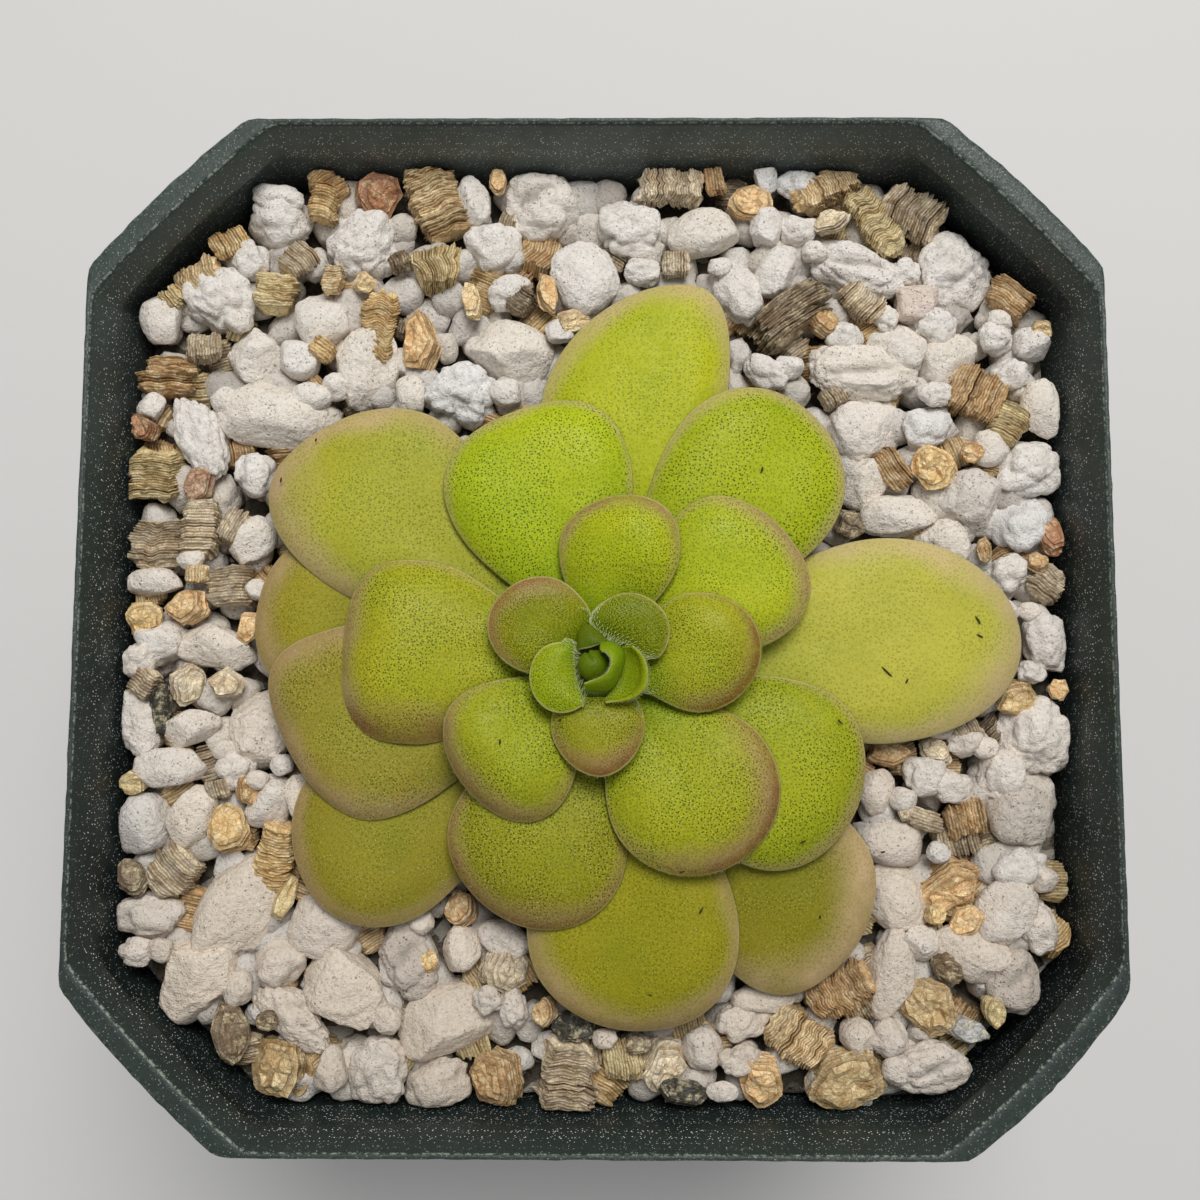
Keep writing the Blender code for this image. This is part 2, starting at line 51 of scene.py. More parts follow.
# ---------------------------------------------------------------- repeatable noise


def hashed(i, j, k, seed):
    h = (i * 73856093) ^ (j * 19349663) ^ (k * 83492791) ^ (seed * 49979687 + 7)
    h = (h & 0xFFFFFFFF).astype(np.uint64)
    h = ((h ^ (h >> np.uint64(15))) * np.uint64(2246822519)) & np.uint64(0xFFFFFFFF)
    h = ((h ^ (h >> np.uint64(13))) * np.uint64(3266489917)) & np.uint64(0xFFFFFFFF)
    h = h ^ (h >> np.uint64(16))
    return (h & np.uint64(0xFFFFFF)).astype(float) / 0xFFFFFF


def noise(p, seed=0):
    """Smooth noise between -1 and 1 at points p (n, 3)."""
    p = np.asarray(p, float)
    c = np.floor(p).astype(np.int64)
    f = p - c
    f = f * f * (3 - 2 * f)
    out = np.zeros(len(p))
    for dx in (0, 1):
        for dy in (0, 1):
            for dz in (0, 1):
                w = ((f[:, 0] if dx else 1 - f[:, 0]) * (f[:, 1] if dy else 1 - f[:, 1])
                     * (f[:, 2] if dz else 1 - f[:, 2]))
                out += w * hashed(c[:, 0] + dx, c[:, 1] + dy, c[:, 2] + dz, seed)
    return 2 * out - 1


def fractal(p, seed=0, octaves=3, gain=0.5):
    out, amp, total = 0, 1.0, 0.0
    for o in range(octaves):
        out = out + amp * noise(np.asarray(p) * 2.03 ** o + 5.3 * o, seed + 17 * o)
        total += amp
        amp *= gain
    return out / total


def cells(p, seed=0):
    """Distance to the nearest scattered point, about 0 to 1."""
    p = np.asarray(p, float)
    c = np.floor(p).astype(np.int64)
    best = np.full(len(p), 9.0)
    for dx in (-1, 0, 1):
        for dy in (-1, 0, 1):
            for dz in (-1, 0, 1):
                i, j, k = c[:, 0] + dx, c[:, 1] + dy, c[:, 2] + dz
                d = ((i + hashed(i, j, k, seed) - p[:, 0]) ** 2
                     + (j + hashed(i, j, k, seed + 101) - p[:, 1]) ** 2
                     + (k + hashed(i, j, k, seed + 202) - p[:, 2]) ** 2)
                np.minimum(best, d, out=best)
    return np.sqrt(best)


def smooth(x, lo, hi):
    x = np.clip((np.asarray(x, float) - lo) / (hi - lo), 0, 1)
    return x * x * (3 - 2 * x)


# ---------------------------------------------------------------- node materials


class Look:
    """Small helper to write a node material line by line."""

    def __init__(self, name, rough=0.5, specular=0.5, **sockets):
        self.mat = bpy.data.materials.new(name)
        self.mat.use_nodes = True
        self.tree = self.mat.node_tree
        self.bsdf = self.tree.nodes["Principled BSDF"]
        self.bsdf.inputs["Roughness"].default_value = rough
        self.bsdf.inputs["Specular IOR Level"].default_value = specular
        for key, value in sockets.items():
            self.bsdf.inputs[key.replace("_", " ")].default_value = value
        self.coords = self.node("ShaderNodeTexCoord").outputs["Object"]

    def node(self, kind, **props):
        n = self.tree.nodes.new(kind)
        for key, value in props.items():
            setattr(n, key, value)
        return n

    def link(self, a, b):
        self.tree.links.new(a, b)

    def put(self, socket, value):
        if hasattr(value, "is_output") or isinstance(value, bpy.types.NodeSocket):
            self.link(value, socket)
        else:
            socket.default_value = value

    def noise(self, scale, detail=3.0, rough=0.5, vector=None, distortion=0.0):
        n = self.node("ShaderNodeTexNoise")
        n.inputs["Scale"].default_value = scale
        n.inputs["Detail"].default_value = detail
        n.inputs["Roughness"].default_value = rough
        n.inputs["Distortion"].default_value = distortion
        self.link(vector or self.coords, n.inputs["Vector"])
        return n.outputs["Fac"]

    def voronoi(self, scale, feature="F1", dims="3D", random=1.0, vector=None, out="Distance"):
        n = self.node("ShaderNodeTexVoronoi", feature=feature, voronoi_dimensions=dims)
        n.inputs["Scale"].default_value = scale
        n.inputs["Randomness"].default_value = random
        self.link(vector or self.coords, n.inputs["Vector"])
        return n.outputs[out]

    def attr(self, name, out="Fac"):
        n = self.node("ShaderNodeAttribute", attribute_name=name)
        return n.outputs[out]

    def ramp(self, value, lo, hi, a=0.0, b=1.0):
        n = self.node("ShaderNodeMapRange", interpolation_type="SMOOTHSTEP")
        self.link(value, n.inputs["Value"])
        for key, v in (("From Min", lo), ("From Max", hi), ("To Min", a), ("To Max", b)):
            n.inputs[key].default_value = v
        return n.outputs["Result"]

    def math(self, op, a, b=0.0, clamp=False):
        n = self.node("ShaderNodeMath", operation=op, use_clamp=clamp)
        self.put(n.inputs[0], a)
        self.put(n.inputs[1], b)
        return n.outputs[0]

    def mix(self, fac, a, b, blend="MIX"):
        n = self.node("ShaderNodeMix", data_type="RGBA", blend_type=blend)
        self.put(n.inputs["Factor"], fac)
        self.put(n.inputs[6], a if not isinstance(a, tuple) else (*a, 1.0))
        self.put(n.inputs[7], b if not isinstance(b, tuple) else (*b, 1.0))
        return n.outputs[2]

    def grow(self, vector, x=1.0, y=1.0, z=1.0):
        n = self.node("ShaderNodeMapping")
        n.inputs["Scale"].default_value = (x, y, z)
        self.link(vector, n.inputs["Vector"])
        return n.outputs["Vector"]

    def colour(self, value):
        self.put(self.bsdf.inputs["Base Color"], value)

    def rough(self, value):
        self.put(self.bsdf.inputs["Roughness"], value)

    def bump(self, *heights, strength=1.0, distance=0.0001):
        last = None
        for h, d in heights:
            n = self.node("ShaderNodeBump")
            n.inputs["Strength"].default_value = strength
            n.inputs["Distance"].default_value = d
            self.link(h, n.inputs["Height"])
            if last is not None:
                self.link(last, n.inputs["Normal"])
            last = n.outputs["Normal"]
        self.link(last, self.bsdf.inputs["Normal"])


def leaf_look(name, tint, dots, pitch):
    """Leaf skin: its mean tint, the strength of the gland dots and their pitch in mm."""
    k = Look(name, rough=0.46, specular=0.13, Subsurface_Weight=0.30, Subsurface_Scale=0.0012)
    k.bsdf.inputs["Subsurface Radius"].default_value = (1.0, 1.0, 0.3)
    base = (tint[0] * 1.055, tint[1] * 1.06, tint[2] * 0.74)
    deep = (base[0] * 0.56, base[1] * 0.82, base[2] * 0.45)
    pale = (min(1.0, base[0] * 1.17 + 0.02), min(1.0, base[1] * 1.11 + 0.012), base[2] * 1.15)
    cloud = k.noise(170.0, 4.0, 0.6)
    fine = k.noise(2300.0, 3.0, 0.65)
    edge = k.attr("edge")
    # darker and greener towards the foot, soft clouds, and a painted highlight: the middle of the swollen blade is
    # paler, where it catches the light
    # on the heart and the bud leaves this foot value is painted shade: the heart's cleft and right side, and the shaded
    # side of each bud leaf
    col = k.mix(k.ramp(k.attr("foot"), 0.0, 1.0), base, deep)
    col = k.mix(k.ramp(edge, 0.8, 4.5, 0.0, 0.30), col, pale)
    col = k.mix(k.ramp(cloud, 0.46, 0.68, 0.0, 0.65), col, pale)
    col = k.mix(k.ramp(cloud, 0.47, 0.28, 0.0, 0.45), col, k.mix(1.0, col, (0.76, 0.86, 0.70), "MULTIPLY"))
    # a wide russet flush, then the soft blush of the margin
    uneven = k.noise(420.0, 5.0, 0.7)
    flush = k.math("MULTIPLY", k.attr("flush"), k.ramp(uneven, 0.30, 0.66, 0.50, 1.15), clamp=True)
    col = k.mix(flush, col, k.mix(1.0, col, (0.92, 0.60, 1.0), "MULTIPLY"))
    b = k.math("MULTIPLY", k.attr("blush"), k.ramp(uneven, 0.28, 0.62, 0.76, 1.08), clamp=True)
    col = k.mix(b, col, k.mix(k.attr("dusk"), (0.640, 0.480, 0.265), (0.235, 0.106, 0.026)))
    # faint mottling of the skin; in patches, small dark gland dots (the glands' own colour and their painted shadows)
    # and painted glints on the wet gland heads
    col = k.mix(k.ramp(fine, 0.44, 0.66, 0.0, 0.12 + 0.34 * dots), col, k.mix(1.0, col, (0.64, 0.70, 0.56), "MULTIPLY"))
    col = k.mix(k.ramp(fine, 0.44, 0.30, 0.0, 0.08 + 0.26 * dots), col, pale)
    patch = k.math("MULTIPLY", k.ramp(k.noise(330.0, 2.0), 0.36, 0.60, 0.50, 1.0), k.ramp(b, 0.0, 1.0, 1.0, 0.55))
    # dark gland dots: the glands with their painted shadows
    spots = k.voronoi(1120.0 / pitch, dims="2D", random=0.90)
    spot = k.math("MULTIPLY", k.ramp(spots, 0.09, 0.33, min(1.0, 1.60 * dots), 0.0), patch, clamp=True)
    col = k.mix(spot, col, k.mix(1.0, col, (0.12, 0.17, 0.06), "MULTIPLY"))
    # painted highlights: pale glints of the wet gland heads
    glint_cells = k.voronoi(1200.0 / pitch, dims="2D", random=1.0)
    head = k.math("MULTIPLY", k.ramp(glint_cells, 0.05, 0.20, 0.08 + 0.62 * dots, 0.0), patch, clamp=True)
    col = k.mix(head, col, (0.90, 0.94, 0.27))
    # painted highlight: the thin pale line where the upturned margin catches the light
    line = k.math("MULTIPLY", k.ramp(edge, 0.04, 0.17, 0.60, 0.0), k.ramp(uneven, 0.34, 0.60, 0.35, 1.0))
    col = k.mix(line, col, (0.70, 0.62, 0.26))
    k.colour(col)
    k.rough(k.ramp(fine, 0.3, 0.7, 0.38, 0.54))
    k.bump((cloud, 0.00014), (fine, 0.00005))
    return k.mat


def droplet_look():
    k = Look("gland_dew", rough=0.12, specular=0.7)
    n = k.noise(900.0, 2.0)
    k.colour(k.mix(n, (0.52, 0.56, 0.22), (0.86, 0.86, 0.66)))
    k.rough(k.ramp(n, 0.3, 0.7, 0.08, 0.22))
    return k.mat


def bristle_look():
    k = Look("bristle", rough=0.35, specular=0.4)
    n = k.noise(1500.0, 2.0)
    k.colour(k.mix(n, (0.46, 0.58, 0.18), (0.78, 0.84, 0.46)))
    k.rough(k.ramp(n, 0.3, 0.7, 0.28, 0.42))
    return k.mat


def perlite_look():
    """Chalky foamed glass: white to cream, painted shade in its creases, speckled."""
    k = Look("perlite_chalk", rough=0.92, specular=0.16)
    tint = k.attr("tint", "Color")
    cloud = k.noise(420.0, 4.0, 0.6)
    grit = k.noise(3800.0, 4.0, 0.7)
    col = k.mix(k.ramp(cloud, 0.36, 0.66, 0.0, 0.6), tint,
                k.mix(1.0, tint, (0.91, 0.885, 0.85), "MULTIPLY"))
    col = k.mix(k.ramp(grit, 0.47, 0.64, 0.0, 0.60), col,
                k.mix(1.0, col, (0.76, 0.73, 0.70), "MULTIPLY"))
    col = k.mix(k.ramp(grit, 0.45, 0.32, 0.0, 0.45), col, k.mix(1.0, col, (1.10, 1.10, 1.10), "MULTIPLY"))
    # painted shade: the creases and hollows are darkened grey
    col = k.mix(k.math("MULTIPLY", k.attr("crease"), k.ramp(cloud, 0.3, 0.6, 0.45, 0.9), clamp=True),
                col, (0.36, 0.325, 0.28))
    # irregular dark specks in patches, and fine round pits
    where = k.ramp(k.noise(700.0, 2.0), 0.38, 0.60, 0.25, 1.0)
    flecks = k.math("MULTIPLY", k.ramp(k.noise(2500.0, 3.0, 0.75, distortion=0.6), 0.600, 0.66, 0.0, 0.85), where)
    col = k.mix(k.math("MULTIPLY", flecks, k.attr("pitted"), clamp=True), col, (0.27, 0.24, 0.20))
    for scale, size, deep in ((1900.0, 0.20, 0.90), (2700.0, 0.25, 0.80)):
        speck = k.math("MULTIPLY", k.ramp(k.voronoi(scale), 0.09, size, deep, 0.0), k.attr("pitted"), clamp=True)
        col = k.mix(k.math("MULTIPLY", speck, where), col, (0.17, 0.145, 0.115))
    k.colour(col)
    k.bump((k.noise(1700.0, 4.0, 0.78), 0.00036))
    return k.mat


def vermiculite_look():
    """Swollen mica: bright broken edges, the slots between the layers painted dark as shade."""
    k = Look("vermiculite_mica", rough=0.42, specular=0.5, Metallic=0.12)
    tint = k.attr("tint", "Color")
    cloud = k.noise(560.0, 4.0, 0.68)
    grit = k.noise(3400.0, 4.0, 0.7)
    # brown clouds, and painted glints: pale patches of the mica's sheen
    col = k.mix(k.ramp(cloud, 0.42, 0.64, 0.0, 0.60), tint,
                k.mix(1.0, tint, (0.68, 0.52, 0.33), "MULTIPLY"))
    painted_glint = k.mix(0.60, tint, (1.0, 0.86, 0.54))
    col = k.mix(k.ramp(k.noise(1100.0, 4.0, 0.7), 0.48, 0.62, 0.0, 0.80), col, painted_glint)
    # painted shade in the slots between the layers
    col = k.mix(k.math("MULTIPLY", k.attr("slot"), k.ramp(cloud, 0.30, 0.60, 0.70, 1.3), clamp=True), col,
                k.mix(1.0, tint, (0.15, 0.095, 0.05), "MULTIPLY"))
    # fine dark cracks and grit
    crack = k.voronoi(1700.0, feature="DISTANCE_TO_EDGE", vector=k.grow(k.coords, 1.0, 1.25, 0.8))
    col = k.mix(k.ramp(crack, 0.015, 0.07, 0.55, 0.0), col, k.mix(1.0, tint, (0.36, 0.27, 0.18), "MULTIPLY"))
    col = k.mix(k.ramp(grit, 0.52, 0.70, 0.0, 0.50), col, k.mix(1.0, col, (0.52, 0.44, 0.36), "MULTIPLY"))
    k.colour(col)
    k.rough(k.ramp(grit, 0.3, 0.7, 0.30, 0.55))
    k.bump((cloud, 0.00020), (grit, 0.00010))
    return k.mat


def bed_look():
    k = Look("mix_dust", rough=0.95, specular=0.15)
    a = k.noise(500.0, 5.0, 0.7)
    b = k.voronoi(900.0, out="Color")
    g = k.node("ShaderNodeRGBToBW")
    k.link(b, g.inputs[0])
    col = k.mix(k.ramp(a, 0.3, 0.7), (0.045, 0.036, 0.026), (0.17, 0.145, 0.11))
    col = k.mix(k.ramp(g.outputs[0], 0.62, 0.80, 0.0, 0.8), col, (0.44, 0.41, 0.36))
    k.colour(col)
    k.bump((a, 0.0005), (k.noise(3000.0, 3.0), 0.0002))
    return k.mat


def plastic_look():
    """Dark blue-green moulded plastic, dusted with fine white specks."""
    k = Look("dark_green_plastic", rough=0.46, specular=0.38)
    cloud = k.noise(60.0, 4.0, 0.6)
    fine = k.noise(6000.0, 2.0, 0.6)
    col = k.mix(k.ramp(cloud, 0.35, 0.65), (0.0110, 0.0190, 0.0180), (0.0175, 0.0285, 0.0260))
    # painted light: the inner walls at the back, which face the front, are paler as if lit
    back_wall_light = k.math("MULTIPLY", k.attr("wall_light_and_haze"), k.ramp(k.noise(300.0, 4.0, 0.7), 0.25, 0.65, 0.65, 1.0), clamp=True)
    col = k.mix(back_wall_light, col, (0.125, 0.148, 0.138))
    # painted sheen: the lip is paler, most at the back where it catches the light
    lip_sheen = k.math("MULTIPLY", k.attr("lip"), k.ramp(k.noise(420.0, 5.0, 0.75), 0.3, 0.65, 0.45, 1.0), clamp=True)
    col = k.mix(lip_sheen, col, (0.040, 0.058, 0.047))
    arris = k.math("MULTIPLY", k.attr("arris"), k.ramp(k.noise(2600.0, 3.0, 0.7), 0.44, 0.60), clamp=True)
    col = k.mix(arris, col, (0.30, 0.35, 0.30))
    # dust: fine specks, each of its own brightness
    for scale, size, lo in ((3400.0, 0.22, 0.43), (5000.0, 0.28, 0.43), (1500.0, 0.08, 0.46)):
        dust = k.voronoi(scale, random=1.0)
        own = k.node("ShaderNodeRGBToBW")
        k.link(k.voronoi(scale, random=1.0, out="Color"), own.inputs[0])
        speck = k.math("MULTIPLY", k.ramp(dust, 0.45 * size, size, 1.0, 0.0), k.ramp(own.outputs[0], lo, 0.68), clamp=True)
        speck = k.math("MULTIPLY", speck, k.attr("dust"), clamp=True)
        col = k.mix(speck, col, (0.90, 0.93, 0.91))
    wall_light_and_haze = k.noise(2600.0, 4.0, 0.8)
    col = k.mix(k.ramp(wall_light_and_haze, 0.58, 0.74, 0.0, 0.22), col, (0.30, 0.32, 0.31))
    k.colour(col)
    k.rough(k.ramp(fine, 0.3, 0.7, 0.36, 0.60))
    k.bump((fine, 0.000024), (k.noise(1300.0, 2.0), 0.00004))
    return k.mat


def stem_look():
    k = Look("stem_skin", rough=0.55, specular=0.2)
    a = k.noise(700.0, 4.0, 0.6)
    k.colour(k.mix(k.ramp(a, 0.3, 0.7), (0.060, 0.100, 0.008), (0.120, 0.170, 0.014)))
    k.rough(k.ramp(a, 0.3, 0.7, 0.45, 0.65))
    k.bump((k.noise(1500.0, 3.0), 0.0002))
    return k.mat


def fleck_look():
    k = Look("dark_fleck", rough=0.8, specular=0.2)
    a = k.noise(2500.0, 3.0, 0.6)
    k.colour(k.mix(a, (0.018, 0.016, 0.008), (0.07, 0.055, 0.02)))
    k.bump((a, 0.00004))
    return k.mat


def floor_look():
    k = Look("pale_floor", rough=0.75, specular=0.2)
    a = k.noise(3.0, 3.0, 0.5)
    k.colour(k.mix(k.ramp(a, 0.3, 0.7), (0.765, 0.760, 0.745), (0.795, 0.790, 0.775)))
    k.bump((k.noise(350.0, 3.0), 0.00003))
    return k.mat


# ---------------------------------------------------------------- making pieces


def make(name, verts, faces, mat, smooth_shade=True, values=None, colours=None, merge=False):
    """A mesh object from vertices in millimetres, with named point values."""
    me = bpy.data.meshes.new(name)
    v = np.asarray(verts, float) * MM
    me.from_pydata(v.tolist(), [], [tuple(f) for f in faces])
    for key, data in (values or {}).items():
        a = me.attributes.new(key, "FLOAT", "POINT")
        a.data.foreach_set("value", np.asarray(data, np.float32))
    for key, data in (colours or {}).items():
        a = me.attributes.new(key, "FLOAT_COLOR", "POINT")
        rgba = np.c_[np.asarray(data, np.float32), np.ones(len(v), np.float32)]
        a.data.foreach_set("color", rgba.ravel())
    me.materials.append(mat)
    if smooth_shade:
        me.shade_smooth()
    me.update()
    ob = bpy.data.objects.new(name, me)
    bpy.context.collection.objects.link(ob)
    return ob


class Heap:
    """Gathers many small closed bodies into one piece."""

    def __init__(self):
        self.v, self.f, self.n = [], [], 0
        self.values, self.colours = {}, []

    def add(self, verts, faces, tint, **values):
        self.v.append(np.asarray(verts, float))
        self.f += [tuple(int(i) + self.n for i in f) for f in faces]
        m = len(verts)
        self.n += m
        self.colours.append(np.tile(np.asarray(tint, float), (m, 1)) if np.ndim(tint) == 1 else tint)
        for key, data in values.items():
            self.values.setdefault(key, []).append(np.broadcast_to(np.asarray(data, float), (m,)))

    def piece(self, name, mat, smooth_shade=True):
        return make(name, np.concatenate(self.v), self.f, mat, smooth_shade,
                    {k: np.concatenate(d) for k, d in self.values.items()},
                    {"tint": np.concatenate(self.colours)})


def carry(ob, slot, *nodes):
    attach(ob, "root")
    if nodes:
        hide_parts(*nodes)
    return ob


# ---------------------------------------------------------------- the leaves
# Name, then azimuth, length, distance of the widest place, half-width on the
# left and on the right, roundness of the tip, sideways bend, heights over the
# rim of foot, middle and tip, and the fall of the margins.
LEAVES = [
    ("leaf_01", 169.6, 26.6, 19.5, 6.6, 6.8, 2.3, 0.0, -4.6, -3.2, -3.9, 0.3),
    ("leaf_02", -50.2, 28.3, 21.5, 7.0, 7.0, 2.2, -1.2, -4.6, -3.0, -3.7, 0.4),
    ("leaf_03", -141.2, 27.4, 20.8, 6.1, 7.6, 1.95, 0.0, -4.5, -2.8, -3.6, 0.5),
    ("leaf_04", 6.7, 31.9, 21.3, 7.3, 8.1, 2.0, -0.9, -4.4, -1.8, -3.2, 0.5),
    ("leaf_05", -82.3, 26.9, 19.5, 7.6, 8.0, 2.05, 0.6, -4.3, -2.2, -3.0, 0.4),
    ("leaf_06", 144.8, 29.0, 20.8, 6.8, 8.3, 1.9, 1.5, -4.2, -1.6, -2.6, 0.5),
    ("leaf_07", 79.7, 30.1, 19.0, 8.1, 5.9, 2.0, -1.8, -4.0, -1.3, -1.9, 0.5),
    ("leaf_08", -169.1, 24.7, 18.0, 8.0, 6.6, 2.0, -2.4, -3.9, -1.2, -2.2, 0.5),
    ("leaf_09", 51.2, 24.9, 18.2, 6.7, 7.0, 2.05, 0.0, -3.6, -0.5, -1.4, 0.5),
    ("leaf_10", -29.3, 21.5, 15.6, 6.6, 7.4, 2.0, -0.6, -3.4, -0.2, -1.2, 0.5),
    ("leaf_11", -109.6, 19.7, 13.9, 6.7, 6.6, 1.95, 0.6, -3.0, 0.0, -1.4, 0.6),
    ("leaf_12", 108.5, 20.2, 14.5, 7.1, 7.0, 2.45, -0.4, -2.6, 0.4, -0.6, 0.6),
    ("leaf_13", 176.2, 18.9, 13.4, 6.6, 6.9, 3.1, 0.0, -2.2, 0.9, -0.5, 0.8),
    ("leaf_14", -53.8, 17.2, 11.0, 6.4, 6.2, 2.05, 0.3, -1.8, 1.0, 0.2, 0.4),
    ("leaf_15", 31.2, 16.8, 12.0, 6.7, 5.0, 2.05, -0.6, -1.4, 1.2, 0.6, 0.4),
    ("leaf_16", -139.3, 13.0, 9.2, 5.8, 4.9, 2.1, 0.4, -1.0, 1.6, 0.4, 1.0),
    ("leaf_17", 82.6, 12.5, 8.5, 4.1, 4.7, 2.05, -0.8, -0.6, 1.8, 1.4, 0.4),
    ("leaf_18", 6.8, 11.6, 7.0, 4.4, 4.2, 2.0, 0.2, 0.0, 2.0, 2.0, 0.3),
    ("leaf_19", 147.4, 8.7, 5.3, 3.5, 3.6, 2.0, 0.3, 0.8, 2.4, 2.8, 0.0),
    ("leaf_20", -89.7, 7.9, 4.3, 3.2, 3.5, 1.8, 0.0, 1.2, 2.5, 2.6, 0.2),
    ("leaf_21", 44.0, 5.9, 3.2, 3.0, 2.6, 2.0, 0.0, 2.2, 3.0, 3.4, -0.1),
    ("leaf_22", -162.8, 5.1, 2.9, 2.6, 2.4, 2.0, 0.2, 2.6, 3.2, 3.5, -0.2),
]
# The skin: green share, red against green, blue against green, strength and
# pitch of the gland dots; then the blush: strength, depth in mm, the compass
# bearing it faces (degrees, seen from above), how much it keeps to that side,
# how dark it is, and the wide flush inside it.
LEAF_LOOKS = {
    "leaf_01": (0.270, 1.07, 0.100, 0.30, 0.34, 0.90, 3.6, 190, 0.3, 0.42, 0.35),
    "leaf_02": (0.198, 1.05, 0.070, 0.30, 0.34, 0.97, 3.8, -20, 0.8, 0.26, 0.30),
    "leaf_03": (0.247, 1.07, 0.120, 0.30, 0.34, 0.85, 2.3, 200, 0.5, 0.45, 0.42),
    "leaf_04": (0.430, 1.02, 0.185, 0.26, 0.36, 0.96, 3.8, 10, 0.30, 0.00, 0.04),
    "leaf_05": (0.262, 1.03, 0.055, 0.30, 0.34, 0.92, 2.8, -95, 0.5, 0.42, 0.22),
    "leaf_06": (0.360, 0.97, 0.110, 0.36, 0.34, 0.98, 3.9, 150, 0.7, 0.24, 0.14),
    "leaf_07": (0.440, 0.90, 0.030, 0.34, 0.34, 0.78, 2.8, 100, 0.75, 0.08, 0.08),
    "leaf_08": (0.265, 1.06, 0.160, 0.50, 0.31, 0.96, 3.0, 190, 0.6, 0.48, 0.42),
    "leaf_09": (0.420, 0.84, 0.030, 0.62, 0.32, 0.70, 1.6, 60, 0.6, 0.15, 0.08),
    "leaf_10": (0.350, 0.87, 0.040, 0.62, 0.30, 0.62, 1.5, -30, 0.6, 0.35, 0.18),
    "leaf_11": (0.274, 0.95, 0.060, 0.66, 0.29, 0.94, 2.6, -120, 0.6, 0.75, 0.45),
    "leaf_12": (0.455, 0.81, 0.030, 0.68, 0.30, 0.58, 1.3, 110, 0.5, 0.20, 0.06),
    "leaf_13": (0.360, 0.96, 0.055, 0.78, 0.28, 0.98, 2.8, 225, 0.6, 0.58, 0.28),
    "leaf_14": (0.355, 0.91, 0.042, 0.80, 0.28, 1.00, 3.2, -30, 0.85, 0.82, 0.38),
    "leaf_15": (0.450, 0.85, 0.042, 0.74, 0.28, 0.90, 1.8, 15, 0.8, 0.52, 0.20),
    "leaf_16": (0.360, 0.90, 0.050, 0.74, 0.27, 0.96, 2.1, 235, 0.7, 0.66, 0.34),
    "leaf_17": (0.428, 0.84, 0.026, 0.70, 0.25, 0.88, 1.8, 85, 0.75, 0.66, 0.32),
    "leaf_18": (0.350, 0.90, 0.048, 0.80, 0.24, 1.00, 2.4, -30, 0.85, 0.92, 0.55),
    "leaf_19": (0.244, 0.91, 0.006, 0.75, 0.22, 0.98, 2.4, 140, 0.7, 0.80, 0.60),
    "leaf_20": (0.256, 0.97, 0.040, 0.75, 0.22, 1.00, 2.8, -80, 0.8, 0.85, 0.60),
    "leaf_21": (0.212, 0.82, 0.002, 0.70, 0.21, 0.30, 0.6, 30, 0.3, 0.30, 0.20),
    "leaf_22": (0.335, 0.80, 0.010, 0.60, 0.21, 0.12, 0.4, 180, 0.2, 0.20, 0.00),
}
# The two small leaves beside the bud are cut off by its hollow: where the
# midrib starts, and the line of the cut as (along, across), left to right.
FOOT_LINES = {
    "leaf_21": (3.4, [(2.9, 3.08), (2.2, 3.06), (1.7, 2.85), (1.50, 2.3), (1.59, 1.61), (1.8, 0.95), (2.06, 0.28),
                      (2.3, -0.3), (2.45, -0.86), (2.52, -1.4), (2.62, -1.85), (2.82, -2.2), (3.1, -2.44)]),
    "leaf_22": (2.1, [(2.02, 2.56), (1.84, 2.44), (1.74, 2.12), (1.79, 1.5), (1.85, 0.7), (1.75, 0.04), (1.62, -0.6),
                      (1.46, -1.13), (1.28, -1.6), (1.20, -1.95), (1.38, -2.3), (1.8, -2.5)]),
}
# How far the foot of a leaf sets off to one side.
SKEW = {"leaf_20": 0.0, "leaf_19": -0.3}
FOOT_R, FOOT_W, THICK, THIN, LIFT, CELL, REACH = 2.45, 1.0, 0.48, 0.22, 0.22, 0.5, 36.0


